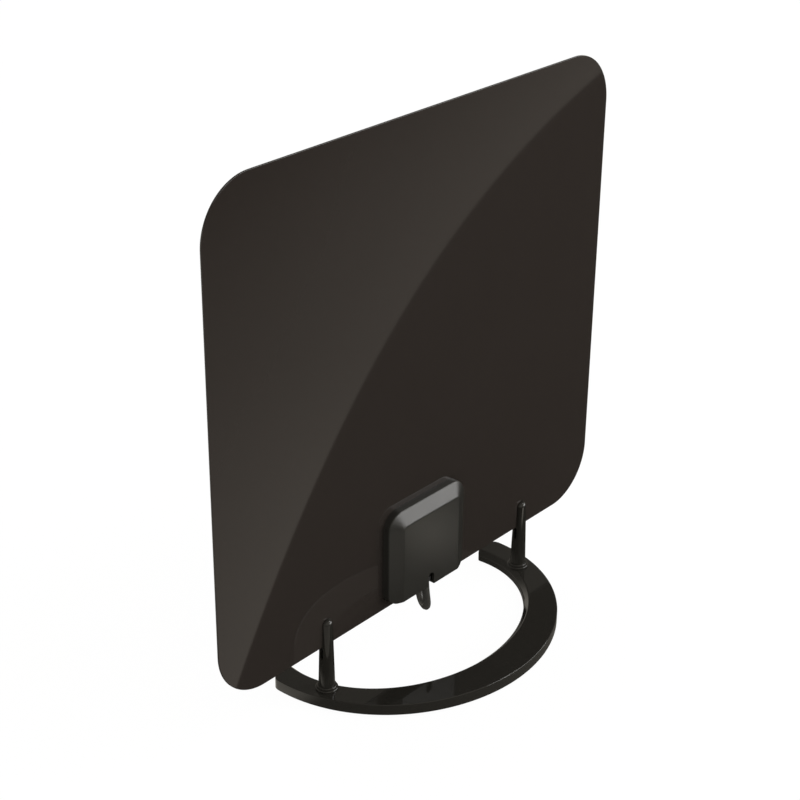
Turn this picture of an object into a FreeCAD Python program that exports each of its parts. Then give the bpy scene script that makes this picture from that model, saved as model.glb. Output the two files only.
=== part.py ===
import FreeCAD, Part
import Sketcher
import math
import os
from FreeCAD import Placement, Rotation, Vector

# A flat indoor television antenna: a thin laminated panel with a junction box at its lower edge,
# standing in two slotted posts on a C-shaped foot, with its coaxial cable coiled behind it.
# Millimetres. X runs along the panel, -Y is its front, Z is up and the table is at Z = 0.

DRIVING_SIZES = {
    # the laminated panel
    "panel_width": 279.0,
    "panel_height": 251.0,
    "panel_corner": 28.0,
    "panel_raise": 31.7,          # the panel's lower edge above the table
    "skin_front": 0.5,
    "skin_rear": 0.5,
    "foil_thick": 0.1,
    "foil_margin": 16.0,          # bare strip between the foils and the panel's edge
    "foil_split": 18.0,           # bare strip between the two foils
    "foil_band": 26.0,            # width of each foil's loop
    "foil_tab": 11.0,             # width of the tongue that runs to the feed contact
    "foil_corner": 9.0,
    # the C-shaped foot
    "stand_offset": 6.7,          # the stand's middle to the right of the panel's
    "ring_thick": 6.0,
    "ring_half_width": 87.5,
    "ring_half_depth": 80.3,
    "ring_behind": 20.1,          # the outer ellipse's centre behind the panel
    "hole_half_width": 72.8,
    "hole_half_depth": 57.7,
    "hole_behind": 17.8,          # the inner ellipse's centre behind the panel
    "tips_behind": 25.7,          # where the open ends stop, behind the panel
    "tip_corner": 3.0,
    "ring_edge": 0.9,             # bevel round the ring's outer upper edge
    "hole_edge": 1.4,             # and round its inner one
    "foot_proud": 0.5,            # the rubber feet below the ring
    "foot_sunk": 1.0,
    "foot_radius": 4.6,
    "foot_play": 0.15,
    # the slotted posts
    "post_inset": 11.7,           # post axes from the ring's sides
    "post_height": 40.0,
    "post_root_radius": 4.1,
    "post_tip_radius": 3.1,
    "collar_radius": 5.6,
    "collar_upper_radius": 4.9,
    "collar_step": 1.2,
    "spigot_radius": 2.6,
    "spigot_length": 3.4,
    "spigot_play": 0.05,
    "slot_below": 7.0,            # slot floor below the panel's edge
    "slot_grip": 0.08,            # gap on each side of the panel at its lower edge
    "slot_taper": 0.02,           # growth of the slot's half width for each millimetre of height
    "relief_half": 0.9,           # half width of the slot below its grip
    "relief_below": 1.5,          # where that wider part ends, below the panel's edge
    "screw_radius": 1.25,
    "screw_head_radius": 2.5,
    "screw_head_high": 1.0,
    "screw_length": 8.0,
    "screw_play": 0.05,
    # the junction box
    "box_width": 57.4,
    "box_height": 50.0,
    "box_raise": 4.0,             # the box above the panel's lower edge
    "box_depth": 7.0,
    "box_corner": 9.5,
    "box_low_corner": 5.0,
    "bevel_run": 7.5,
    "bevel_rise": 3.3,
    "face_corner": 2.4,           # rounding of the flat face's corners
    "box_wall": 1.6,
    "notch_width": 4.5,
    "notch_height": 7.2,
    "plate_thick": 1.6,
    "plate_edge": 0.6,
    "boss_radius": 2.5,
    "boss_inset": 6.4,            # screw axes from the box's sides
    "pin_radius": 1.1,            # shank of the box screws
    "pin_head_radius": 2.1,
    "pin_head_high": 1.0,
    "pin_length": 5.6,
    "pilot_depth": 4.5,           # holes for the pins in the cover's bosses
    "foil_clear": 1.5,            # foil cut back round a screw that passes it
    # what the box holds
    "board_width": 34.0,
    "board_top_gap": 6.0,         # board below the box's upper face
    "board_thick": 1.0,
    "board_off": 1.0,             # board behind the front sheet's face
    "board_raise": 14.0,          # board above the box's lower face
    "peg_radius": 1.0,
    "peg_shoulder_radius": 2.0,
    "peg_inset": 3.0,             # peg axes from the board's sides and top
    "peg_root": 0.5,              # pegs run this far into the cover's wall
    "peg_short": 0.4,             # and stop this far from the front sheet
    "contact_spread": 14.0,
    "contact_raise": 26.0,        # feed contacts above the box's lower face
    "contact_radius": 1.0,
    "contact_collar_radius": 2.0,
    "solder_radius": 1.6,
    "solder_high": 0.5,
    "core_width": 7.0,
    "core_height": 6.0,
    "core_thick": 3.0,
    "core_hole_radius": 0.8,
    "wire_radius": 0.6,
    "chip_long": 2.0,
    "chip_gap": 1.0,              # chips below the solder of the contacts
    "chip_wide": 1.25,
    "chip_high": 0.9,
    # the cable and its plug
    "cable_radius": 1.9,
    "cable_off": 3.2,             # cable axis in front of the front sheet's face
    "cable_inside": 9.0,          # jacket above the box's lower face
    "braid_radius": 1.2,
    "braid_length": 6.0,
    "core_wire_radius": 0.4,
    "core_wire_length": 4.0,
    "crimp_radius": 2.6,
    "crimp_length": 2.6,
    "coil_radius": 31.2,          # centre line of the outer turn
    "coil_width": 20.0,
    "coil_side_shift": 39.6,      # coil's centre to the right of the panel's middle
    "coil_behind": 90.0,
    "tie_thick": 0.6,
    "tie_width": 5.0,
    "tie_play": 0.15,
    "tail_length": 19.0,          # straight cable between the coil and the plug
    "sleeve_radius": 3.4,
    "sleeve_length": 8.5,
    "sleeve_play": 0.05,
    "neck_radius": 3.3,
    "neck_play": 0.05,
    "flange_radius": 4.3,
    "flange_thick": 1.2,
    "nut_lip": 2.0,
    "nut_length": 10.0,
    "nut_across_flats": 11.1,
    "thread_radius": 4.5,
    "pin_proud": 1.6,             # centre wire beyond the nut's face
    "dielectric_radius": 1.6,
    "seat_gap": 0.1,
}

FRONT_FOOT_ANGLE = 32.0           # degrees from the middle of the ring's front, along its ellipse
REAR_FOOT_ANGLE = 86.0
COIL_EXIT_ANGLE = 30.0            # degrees behind +X where the cable leaves the coil
TIE_ANGLE = -60.0                 # where the tie goes round the coil

doc = FreeCAD.newDocument("flat_antenna")
sheet = doc.addObject("Spreadsheet::Sheet", "sizes")


class Length:
    """A length made from the sheet's sizes: its number now, and the formula that keeps it up to date."""

    def __init__(self, number, formula):
        self.number = number
        self.formula = formula

    def joined(self, other, sign, result):
        if isinstance(other, Length):
            return Length(result, f"({self.formula} {sign} {other.formula})")
        return Length(result, f"({self.formula} {sign} ({float(other)}))")

    def __add__(self, other):
        return self.joined(other, "+", self.number + number_of(other))

    def __sub__(self, other):
        return self.joined(other, "-", self.number - number_of(other))

    def __mul__(self, other):
        return self.joined(other, "*", self.number * number_of(other))

    def __truediv__(self, other):
        return self.joined(other, "/", self.number / number_of(other))

    def __neg__(self):
        return Length(-self.number, f"(0 - {self.formula})")


def number_of(length):
    return length.number if isinstance(length, Length) else float(length)


def formula_of(length):
    return length.formula if isinstance(length, Length) else str(float(length))


def fill_sheet():
    """Writes the driving sizes into the sheet and returns them as lengths, by name."""
    lengths = {}
    for row, (alias, number) in enumerate(DRIVING_SIZES.items(), start=1):
        sheet.set(f"A{row}", alias)
        sheet.set(f"B{row}", str(number))
        sheet.setAlias(f"B{row}", alias)
        lengths[alias] = Length(number, f"sizes.{alias}")
    doc.recompute()
    return lengths


S = fill_sheet()
ZERO = Length(0.0, "0")

# Places that several pieces share.
PANEL_Y = (S["ring_half_depth"] - S["ring_behind"] - S["tips_behind"]) / 2
RING_TOP = S["foot_proud"] + S["ring_thick"]
SLOT_FLOOR = S["panel_raise"] - S["slot_below"] - RING_TOP
POST_X = S["ring_half_width"] - S["post_inset"]
PANEL_HALF = (S["skin_front"] + S["skin_rear"]) / 2
BOX_FACE_INSIDE = S["skin_front"] + S["box_depth"] - S["box_wall"]
BOARD_REAR = S["skin_front"] + S["board_off"]
BOARD_FACE = BOARD_REAR + S["board_thick"]
SCREW_X = S["box_width"] / 2 - S["boss_inset"]
SCREW_LOW = S["box_raise"] + S["boss_inset"]
SCREW_HIGH = S["box_raise"] + S["box_height"] - S["boss_inset"]
BOARD_LOW = S["box_raise"] + S["board_raise"]
BOARD_TOP = S["box_raise"] + S["box_height"] - S["board_top_gap"]
PEG_X = S["board_width"] / 2 - S["peg_inset"]
PEG_Z = BOARD_TOP - S["peg_inset"]
CONTACT_Z = S["box_raise"] + S["contact_raise"]
CABLE_Y = S["skin_front"] + S["cable_off"]
NUT_START = S["sleeve_length"] + S["seat_gap"] * 2
NUT_END = NUT_START + S["nut_length"]


# ---- helpers: binding, sketches and features ---------------------------------------------------

def bind(thing, name, length):
    """Ties a property of a document object to the sheet."""
    thing.setExpression(name, formula_of(length))


def place(thing, x=0, y=0, z=0, rotation=None):
    """Gives a sub-part its place, tied to the sheet."""
    thing.Placement = Placement(Vector(number_of(x), number_of(y), number_of(z)), rotation or Rotation())
    for axis, length in zip("xyz", (x, y, z)):
        bind(thing, f"Placement.Base.{axis}", length)
    return thing


def new_body(label):
    made = doc.addObject("PartDesign::Body", label)
    made.Label = label
    return made


def new_sketch(owner, plane, name, offset=0):
    """A sketch on one of the body's own planes, moved along the plane's normal by offset."""
    support = [item for item in owner.Origin.OriginFeatures if item.Role == plane + "_Plane"][0]
    sketch = owner.newObject("Sketcher::SketchObject", name)
    sketch.AttachmentSupport = [(support, "")]
    sketch.MapMode = "FlatFace"
    sketch.AttachmentOffset = Placement(Vector(0, 0, number_of(offset)), Rotation())
    bind(sketch, "AttachmentOffset.Base.z", offset)
    return sketch


def pin_point(sketch, geometry, end, u, v):
    """Fixes one point of the sketch at u, v, both tied to the sheet."""
    for kind, length in (("DistanceX", u), ("DistanceY", v)):
        index = sketch.addConstraint(Sketcher.Constraint(kind, -1, 1, geometry, end, number_of(length)))
        bind(sketch, f"Constraints[{index}]", length)


def add_outline(sketch, corners):
    """A closed outline of straight lines. A corner is (u, v) or (u, v, radius of its rounding)."""
    points = [Vector(number_of(corner[0]), number_of(corner[1]), 0) for corner in corners]
    count = len(corners)
    entries, leaves = [], []
    for index, corner in enumerate(corners):
        before = (points[index - 1] - points[index]).normalize()
        after = (points[(index + 1) % count] - points[index]).normalize()
        back = 0.0
        if len(corner) == 3:
            half_turn = before.getAngle(after) / 2
            back = number_of(corner[2]) / math.tan(half_turn)
        entries.append(points[index] + before * back)
        leaves.append(points[index] + after * back)
    lines = [sketch.addGeometry(Part.LineSegment(leaves[index], entries[(index + 1) % count]))
             for index in range(count)]
    for index, corner in enumerate(corners):
        incoming, outgoing = lines[index - 1], lines[index]
        if len(corner) == 2:
            sketch.addConstraint(Sketcher.Constraint("Coincident", incoming, 2, outgoing, 1))
            pin_point(sketch, outgoing, 1, corner[0], corner[1])
            continue
        radius = number_of(corner[2])
        inward = ((points[index - 1] - points[index]).normalize()
                  + (points[(index + 1) % count] - points[index]).normalize()).normalize()
        half_turn = (points[index - 1] - points[index]).getAngle(inward)
        centre = points[index] + inward * (radius / math.sin(half_turn))
        middle = centre - inward * radius
        coming, going = points[index] - points[index - 1], points[(index + 1) % count] - points[index]
        leftwards = coming.cross(going).z > 0
        if leftwards:
            arc = sketch.addGeometry(Part.Arc(entries[index], middle, leaves[index]))
        else:
            arc = sketch.addGeometry(Part.Arc(leaves[index], middle, entries[index]))
        first, last = (1, 2) if leftwards else (2, 1)
        sketch.addConstraint(Sketcher.Constraint("Tangent", incoming, 2, arc, first))
        sketch.addConstraint(Sketcher.Constraint("Tangent", arc, last, outgoing, 1))
        size = sketch.addConstraint(Sketcher.Constraint("Radius", arc, radius))
        bind(sketch, f"Constraints[{size}]", corner[2])
        mark = sketch.addGeometry(Part.Point(points[index]), True)
        sketch.addConstraint(Sketcher.Constraint("PointOnObject", mark, 1, incoming))
        sketch.addConstraint(Sketcher.Constraint("PointOnObject", mark, 1, outgoing))
        pin_point(sketch, mark, 1, corner[0], corner[1])


def add_circle(sketch, u, v, radius):
    circle = sketch.addGeometry(Part.Circle(Vector(number_of(u), number_of(v), 0), Vector(0, 0, 1),
                                            number_of(radius)))
    pin_point(sketch, circle, 3, u, v)
    size = sketch.addConstraint(Sketcher.Constraint("Radius", circle, number_of(radius)))
    bind(sketch, f"Constraints[{size}]", radius)


def add_ellipse(sketch, centre_v, half_width, half_depth):
    """An ellipse whose centre is on the sketch's V axis."""
    centre = Vector(0, number_of(centre_v), 0)
    along_u = ("Horizontal", Vector(1, 0, 0), half_width)
    along_v = ("Vertical", Vector(0, 1, 0), half_depth)
    longer, shorter = (along_u, along_v) if half_width.number >= half_depth.number else (along_v, along_u)
    ellipse = sketch.addGeometry(Part.Ellipse(centre + longer[1] * number_of(longer[2]),
                                              centre + shorter[1] * number_of(shorter[2]), centre))
    sketch.exposeInternalGeometry(ellipse)
    major, minor = ellipse + 1, ellipse + 2
    sketch.addConstraint(Sketcher.Constraint(longer[0], major))
    pin_point(sketch, ellipse, 3, ZERO, centre_v)
    for axis, half in ((major, longer[2]), (minor, shorter[2])):
        size = sketch.addConstraint(Sketcher.Constraint("Distance", axis, 2 * number_of(half)))
        bind(sketch, f"Constraints[{size}]", half * 2)


def pad(owner, sketch, length, backwards=False, both_ways=False):
    feature = owner.newObject("PartDesign::Pad", sketch.Name + "_pad")
    feature.Profile = sketch
    feature.Reversed = backwards
    feature.Midplane = both_ways
    feature.Length = number_of(length)
    bind(feature, "Length", length)
    doc.recompute()
    return feature


def pocket(owner, sketch, length=None, backwards=False, both_ways=False):
    """Cuts the sketch out, through everything where no length is given, and checks that it cut."""
    before = owner.Shape.Volume
    feature = owner.newObject("PartDesign::Pocket", sketch.Name + "_pocket")
    feature.Profile = sketch
    feature.Reversed = backwards
    feature.Midplane = both_ways
    if length is None:
        feature.Type = "ThroughAll"
    else:
        feature.Length = number_of(length)
        bind(feature, "Length", length)
    doc.recompute()
    if feature.Shape.Volume >= before - 1e-9:
        raise ValueError(f"{feature.Name} cuts nothing")
    return feature


def turn(owner, sketch, axis="V_Axis"):
    """Revolves the sketch a full turn about one of its own axes."""
    feature = owner.newObject("PartDesign::Revolution", sketch.Name + "_turned")
    feature.Profile = sketch
    feature.ReferenceAxis = (sketch, [axis])
    feature.Angle = 360
    doc.recompute()
    return feature


def edges_of(shape, wanted):
    return [f"Edge{index}" for index, edge in enumerate(shape.Edges, start=1) if wanted(edge)]


def soften(owner, kind, name, radius, wanted):
    """A Fillet or Chamfer on the edges of the body's last feature that the test picks."""
    last = owner.Tip
    feature = owner.newObject("PartDesign::" + kind, name)
    feature.Base = (last, edges_of(last.Shape, wanted))
    size_name = "Radius" if kind == "Fillet" else "Size"
    setattr(feature, size_name, number_of(radius))
    bind(feature, size_name, radius)
    doc.recompute()
    return feature


def near(first, second):
    return abs(first - number_of(second)) < 1e-4


def straight_along(edge, axis):
    """True for a straight edge that runs along axis, given as 0, 1 or 2."""
    box = edge.BoundBox
    spans = (box.XLength, box.YLength, box.ZLength)
    others = [span for index, span in enumerate(spans) if index != axis]
    return spans[axis] > 1e-3 and max(others) < 1e-4


def flat_at(edge, axis, level):
    """True for an edge that lies wholly in the plane where the axis has this level."""
    box = edge.BoundBox
    low = (box.XMin, box.YMin, box.ZMin)[axis]
    high = (box.XMax, box.YMax, box.ZMax)[axis]
    return near(low, level) and near(high, level)


def boolean(kind, label, base, tool):
    made = doc.addObject("Part::" + kind, label)
    made.Label = label
    made.Base = base
    made.Tool = tool
    doc.recompute()
    return made


def cylinder(label, radius, height, x=0, y=0, z=0, rotation=None):
    made = doc.addObject("Part::Cylinder", label)
    made.Label = label
    bind(made, "Radius", radius)
    bind(made, "Height", height)
    return place(made, x, y, z, rotation)


def group(label, members):
    """Several separate solids that share one sub-part."""
    made = doc.addObject("Part::Compound", label)
    made.Label = label
    made.Links = members
    doc.recompute()
    return made


def repeated(label, pattern, spots, rotation=None):
    """One solid repeated at several spots, as one sub-part."""
    members = []
    for index, (x, y, z) in enumerate(spots, start=1):
        link = doc.addObject("App::Link", f"{label}_{index}")
        link.LinkedObject = pattern
        members.append(place(link, x, y, z, rotation))
    return group(label, members)


# Rotations that turn a piece modelled along +Z: towards the front, and towards the rear.
TO_FRONT = Rotation(Vector(1, 0, 0), 90)
TO_REAR = Rotation(Vector(1, 0, 0), -90)


# ---- the stand --------------------------------------------------------------------------------

def foot_spots():
    """Places of the four rubber feet on the ring's middle line, from the stand's middle."""
    half_width = (S["ring_half_width"] + S["hole_half_width"]) / 2
    half_depth = (S["ring_half_depth"] + S["hole_half_depth"]) / 2
    behind = (S["ring_behind"] + S["hole_behind"]) / 2
    spots = []
    for side in (-1, 1):
        for angle in (FRONT_FOOT_ANGLE, REAR_FOOT_ANGLE):
            radians = math.radians(angle)
            spots.append((half_width * (side * math.sin(radians)),
                          behind - half_depth * math.cos(radians)))
    return spots


def make_ring():
    """The C-shaped foot: an elliptic band cut off behind, its underside at the body's Z = 0."""
    ring = new_body("base_ring")
    outline = new_sketch(ring, "XY", "ring_outline")
    add_ellipse(outline, S["ring_behind"], S["ring_half_width"], S["ring_half_depth"])
    add_ellipse(outline, S["hole_behind"], S["hole_half_width"], S["hole_half_depth"])
    pad(ring, outline, S["ring_thick"])
    opening = new_sketch(ring, "XY", "ring_opening")
    far = S["ring_half_depth"] * 2
    side = S["ring_half_width"] * 2
    add_outline(opening, [(-side, S["tips_behind"]), (side, S["tips_behind"]), (side, far), (-side, far)])
    pocket(ring, opening, S["ring_thick"], backwards=True)
    soften(ring, "Fillet", "tip_corners", S["tip_corner"],
           lambda edge: straight_along(edge, 2) and flat_at(edge, 1, S["tips_behind"]))
    soften(ring, "Chamfer", "ring_edge", S["ring_edge"], lambda edge: flat_at(edge, 2, S["ring_thick"]))
    rims = []
    for name, wider in (("hole_rim_low", ZERO), ("hole_rim_high", S["hole_edge"])):
        rim = new_sketch(ring, "XY", name, S["ring_thick"] - S["hole_edge"] + wider)
        add_ellipse(rim, S["hole_behind"], S["hole_half_width"] + wider, S["hole_half_depth"] + wider)
        rims.append(rim)
    sink = ring.newObject("PartDesign::SubtractiveLoft", "hole_bevel")
    sink.Profile = rims[0]
    sink.Sections = [rims[1]]
    sink.Ruled = True
    doc.recompute()

    sockets = new_sketch(ring, "XY", "spigot_sockets", S["ring_thick"])
    shafts = new_sketch(ring, "XY", "screw_shafts")
    heads = new_sketch(ring, "XY", "screw_heads")
    for side in (-1, 1):
        x = POST_X * side
        add_circle(sockets, x, ZERO, S["spigot_radius"] + S["spigot_play"])
        add_circle(shafts, x, ZERO, S["screw_radius"] + S["screw_play"])
        add_circle(heads, x, ZERO, S["screw_head_radius"] + S["screw_play"] * 2)
    pocket(ring, sockets, S["spigot_length"] + S["spigot_play"])
    pocket(ring, shafts, S["ring_thick"], backwards=True)
    pocket(ring, heads, S["screw_head_high"] + S["screw_play"], backwards=True)
    recesses = new_sketch(ring, "XY", "foot_recesses")
    for x, y in foot_spots():
        add_circle(recesses, x, y, S["foot_radius"] + S["foot_play"])
    pocket(ring, recesses, S["foot_sunk"], backwards=True)
    place(ring, S["stand_offset"], PANEL_Y, S["foot_proud"])


def make_feet():
    pattern = new_body("foot_pattern")
    disc = new_sketch(pattern, "XY", "foot_disc")
    add_circle(disc, ZERO, ZERO, S["foot_radius"])
    pad(pattern, disc, S["foot_proud"] + S["foot_sunk"])
    repeated("rubber_feet", pattern,
             [(S["stand_offset"] + x, PANEL_Y + y, ZERO) for x, y in foot_spots()])


def make_post(label, side):
    """A tapered post with a stepped collar, a spigot below and a slot that narrows downwards.

    The ring's upper face is at the body's Z = 0 and the post's axis is its Z axis."""
    post = new_body(label)
    profile = new_sketch(post, "XZ", label + "_profile")
    step, edge = S["collar_step"], S["collar_step"] * 0.35
    dome = S["post_tip_radius"]
    dome_root = S["post_height"] - dome
    chords = [math.radians(angle) for angle in (0, 25, 50, 72)]
    add_outline(profile, [
        (ZERO, -S["spigot_length"]), (S["spigot_radius"], -S["spigot_length"]),
        (S["spigot_radius"], ZERO), (S["collar_radius"], ZERO),
        (S["collar_radius"], step - edge), (S["collar_radius"] - edge, step),
        (S["collar_upper_radius"], step), (S["collar_upper_radius"], step * 2 - edge),
        (S["collar_upper_radius"] - edge, step * 2), (S["post_root_radius"], step * 2),
    ] + [(dome * math.cos(angle), dome_root + dome * math.sin(angle)) for angle in chords]
        + [(ZERO, S["post_height"])])
    turn(post, profile)
    slot = new_sketch(post, "YZ", label + "_slot")
    top = S["post_height"] + 1
    relief, relief_top = S["relief_half"], SLOT_FLOOR + S["slot_below"] - S["relief_below"]
    neck_half = PANEL_HALF + S["slot_grip"] - S["slot_taper"] * S["relief_below"] / 2
    neck = relief_top + S["relief_below"] / 2
    mouth_half = neck_half + S["slot_taper"] * (top - neck)
    right_side = [(relief, SLOT_FLOOR), (relief, relief_top), (neck_half, neck), (mouth_half, top)]
    add_outline(slot, right_side + [(-u, v) for u, v in reversed(right_side)])
    pocket(post, slot, S["collar_radius"] * 2, both_ways=True)
    pilot = new_sketch(post, "XY", label + "_pilot", -S["spigot_length"])
    add_circle(pilot, ZERO, ZERO, S["screw_radius"] + S["screw_play"])
    pocket(post, pilot, S["screw_length"], backwards=True)
    place(post, S["stand_offset"] + POST_X * side, PANEL_Y, RING_TOP)


def make_post_screws():
    """Two screws that come up through the ring into the posts."""
    pattern = new_body("post_screw_pattern")
    profile = new_sketch(pattern, "XZ", "post_screw_profile")
    high = S["screw_head_high"]
    add_outline(profile, [
        (ZERO, ZERO), (S["screw_head_radius"], ZERO), (S["screw_head_radius"], high),
        (S["screw_radius"], high), (S["screw_radius"], S["screw_length"]), (ZERO, S["screw_length"]),
    ])
    turn(pattern, profile)
    socket = new_sketch(pattern, "XY", "post_screw_drive")
    arm, half = S["screw_head_radius"] * 0.55, S["screw_head_radius"] * 0.14
    add_outline(socket, [(arm, -half), (arm, half), (half, half), (half, arm), (-half, arm), (-half, half),
                         (-arm, half), (-arm, -half), (-half, -half), (-half, -arm), (half, -arm),
                         (half, -half)])
    pocket(pattern, socket, high * 0.7, backwards=True)
    x = POST_X
    repeated("post_screws", pattern,
             [(S["stand_offset"] - x, PANEL_Y, S["foot_proud"]), (S["stand_offset"] + x, PANEL_Y,
                                                                  S["foot_proud"])])


# ---- the panel --------------------------------------------------------------------------------
# Its pieces share one frame: X = 0 at the middle, Y = 0 where the sheets meet, Z = 0 at the lower edge.

def place_on_panel(thing, x=0, y=0, z=0, rotation=None):
    return place(thing, x, PANEL_Y + y, S["panel_raise"] + z, rotation)


def screw_spots():
    return [(x, z) for x in (-SCREW_X, SCREW_X) for z in (SCREW_LOW, SCREW_HIGH)]


def contact_spots():
    return [(S["contact_spread"] * side, CONTACT_Z) for side in (-0.5, 0.5)]


def panel_blank(label, thickness, backwards):
    """One sheet with round corners and the screw holes of the box."""
    blank = new_body(label)
    outline = new_sketch(blank, "XZ", label + "_outline")
    x, top, corner = S["panel_width"] / 2, S["panel_height"], S["panel_corner"]
    add_outline(outline, [(-x, ZERO, corner), (x, ZERO, corner), (x, top, corner), (-x, top, corner)])
    pad(blank, outline, thickness, backwards)
    holes = new_sketch(blank, "XZ", label + "_holes")
    for hole_x, hole_z in screw_spots():
        add_circle(holes, hole_x, hole_z, S["pin_radius"] + S["screw_play"] * 2)
    pocket(blank, holes, thickness, backwards=not backwards)
    return blank


def make_front_sheet():
    blank = panel_blank("front_sheet", S["skin_front"], False)
    holes = new_sketch(blank, "XZ", "contact_holes")
    for x, z in contact_spots():
        add_circle(holes, x, z, S["contact_radius"] + S["screw_play"])
    pocket(blank, holes, S["skin_front"], backwards=True)
    place_on_panel(blank)


def make_foil(label, side):
    """A radiator: a rounded loop beside the panel's middle with a tongue to its feed contact."""
    foil = new_body(label)
    outline = new_sketch(foil, "XZ", label + "_outline")
    margin, band, corner = S["foil_margin"], S["foil_band"], S["foil_corner"]
    inner, outer = S["foil_split"] / 2, S["panel_width"] / 2 - margin
    top, low = S["panel_height"] - margin, margin
    tab_low, tab_high = CONTACT_Z - S["foil_tab"] / 2, CONTACT_Z + S["foil_tab"] / 2
    tab_end = S["contact_spread"] / 2 - S["contact_collar_radius"]
    loop_foot = S["box_raise"] + S["box_height"] + S["foil_tab"]
    rise = outer - inner - band
    loops = [
        [(tab_end, tab_low), (inner + band, tab_low, corner), (outer - band, low, corner),
         (outer, low, corner), (outer, top, corner), (inner, top, corner), (inner, loop_foot, corner / 3),
         (tab_end, tab_high)],
        [(inner + band, loop_foot + band / 2, corner), (outer - band, loop_foot + band / 2, corner),
         (outer - band, top - band, corner), (inner + rise / 2, top - band, corner),
         (inner + band, top - band * 2, corner)],
    ]
    for loop in loops:
        add_outline(outline, [(corner[0] * side,) + corner[1:] for corner in loop])
    pad(foil, outline, S["foil_thick"], backwards=True)
    clearance = new_sketch(foil, "XZ", label + "_screw_clearance")
    add_circle(clearance, SCREW_X * side, SCREW_HIGH, S["pin_radius"] + S["foil_clear"])
    pocket(foil, clearance, S["foil_thick"])
    return place_on_panel(foil)


def make_rear_sheet():
    """The rear sheet, with the two foils sunk into the face that meets the front sheet."""
    blank = place_on_panel(panel_blank("rear_sheet_blank", S["skin_rear"], True))
    foils = group("foil_beds", [make_foil("left_radiator", -1), make_foil("right_radiator", 1)])
    boolean("Cut", "rear_sheet", blank, foils)


# ---- the junction box -------------------------------------------------------------------------

def bevelled_block(label, inset):
    """The box's outer form, or its hollow where inset is the wall: bevelled, and cut flat below."""
    block = new_body(label)
    x = S["box_width"] / 2 - inset
    low, top = S["box_raise"] + inset, S["box_raise"] + S["box_height"] - inset
    depth = S["box_depth"] - inset
    surplus = S["bevel_run"] + S["box_corner"]
    corner = S["box_corner"] - inset
    straight = depth - S["bevel_rise"]
    run = S["bevel_run"]
    sections = []
    for name, level, narrower, rounding in (
            ("_outline", ZERO, ZERO, corner), ("_shoulder", straight, ZERO, corner),
            ("_face", depth, run, S["face_corner"] - inset * 0.5)):
        section = new_sketch(block, "XZ", label + name, S["skin_front"] + level)
        side, foot, head = x - narrower, low - surplus + narrower, top - narrower
        add_outline(section, [(-side, foot, rounding), (side, foot, rounding), (side, head, rounding),
                              (-side, head, rounding)])
        sections.append(section)
    pad(block, sections[0], straight)
    slope = block.newObject("PartDesign::AdditiveLoft", label + "_bevel")
    slope.Profile = sections[1]
    slope.Sections = [sections[2]]
    slope.Ruled = True
    doc.recompute()

    trim = new_sketch(block, "XZ", label + "_trim", S["skin_front"])
    low_corner = S["box_low_corner"] - inset
    beyond, shelf = x + 5, low + low_corner + 1
    add_outline(trim, [(-beyond, shelf), (-x, shelf), (-x, low, low_corner),
                       (x, low, low_corner), (x, shelf), (beyond, shelf),
                       (beyond, low - surplus - 5), (-beyond, low - surplus - 5)])
    pocket(block, trim, depth, backwards=True)
    return place_on_panel(block)


def make_cover():
    """The moulded cover: a hollow bevelled shell with screw bosses, two pegs and an arched cable notch."""
    outside = bevelled_block("cover_outside", ZERO)
    hollow = bevelled_block("cover_hollow", S["box_wall"])
    front_y = -S["skin_front"]
    reach = S["box_depth"]
    bosses = [cylinder(f"boss_{index}", S["boss_radius"], reach)
              for index in range(1, 5)]
    for boss, (x, z) in zip(bosses, screw_spots()):
        place_on_panel(boss, x, front_y, z, TO_FRONT)
    for side in (-1, 1):
        shoulder_y = -(BOARD_FACE + S["seat_gap"] / 2)
        shoulder = cylinder("peg_shoulder", S["peg_shoulder_radius"],
                            BOX_FACE_INSIDE - BOARD_FACE + S["peg_root"])
        peg = cylinder("peg", S["peg_radius"], BOX_FACE_INSIDE - S["skin_front"] - S["peg_short"])
        bosses.append(place_on_panel(shoulder, PEG_X * side, shoulder_y, PEG_Z, TO_FRONT))
        bosses.append(place_on_panel(peg, PEG_X * side, front_y - S["peg_short"], PEG_Z, TO_FRONT))
    kept = doc.addObject("Part::MultiFuse", "cover_bosses")
    kept.Shapes = bosses
    cavity = boolean("Cut", "cover_cavity", hollow, kept)
    shell = boolean("Cut", "cover_shell", outside, cavity)

    pilots = [cylinder(f"boss_pilot_{index}", S["pin_radius"] + S["screw_play"],
                       S["pilot_depth"] + S["seat_gap"]) for index in range(1, 5)]
    for hole, (x, z) in zip(pilots, screw_spots()):
        place_on_panel(hole, x, front_y + S["seat_gap"], z, TO_FRONT)
    arch = new_body("notch_arch")
    outline = new_sketch(arch, "XZ", "notch_outline", CABLE_Y - S["cable_radius"] - S["seat_gap"] * 2)
    x, low = S["notch_width"] / 2, S["box_raise"] - S["box_wall"]
    high = S["box_raise"] + S["notch_height"]
    add_outline(outline, [(-x, low), (x, low), (x, high, x * 0.98), (-x, high, x * 0.98)])
    pad(arch, outline, S["box_depth"])
    cuts = doc.addObject("Part::MultiFuse", "cover_cuts")
    cuts.Shapes = pilots + [place_on_panel(arch)]
    boolean("Cut", "box_cover", shell, cuts)


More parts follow.
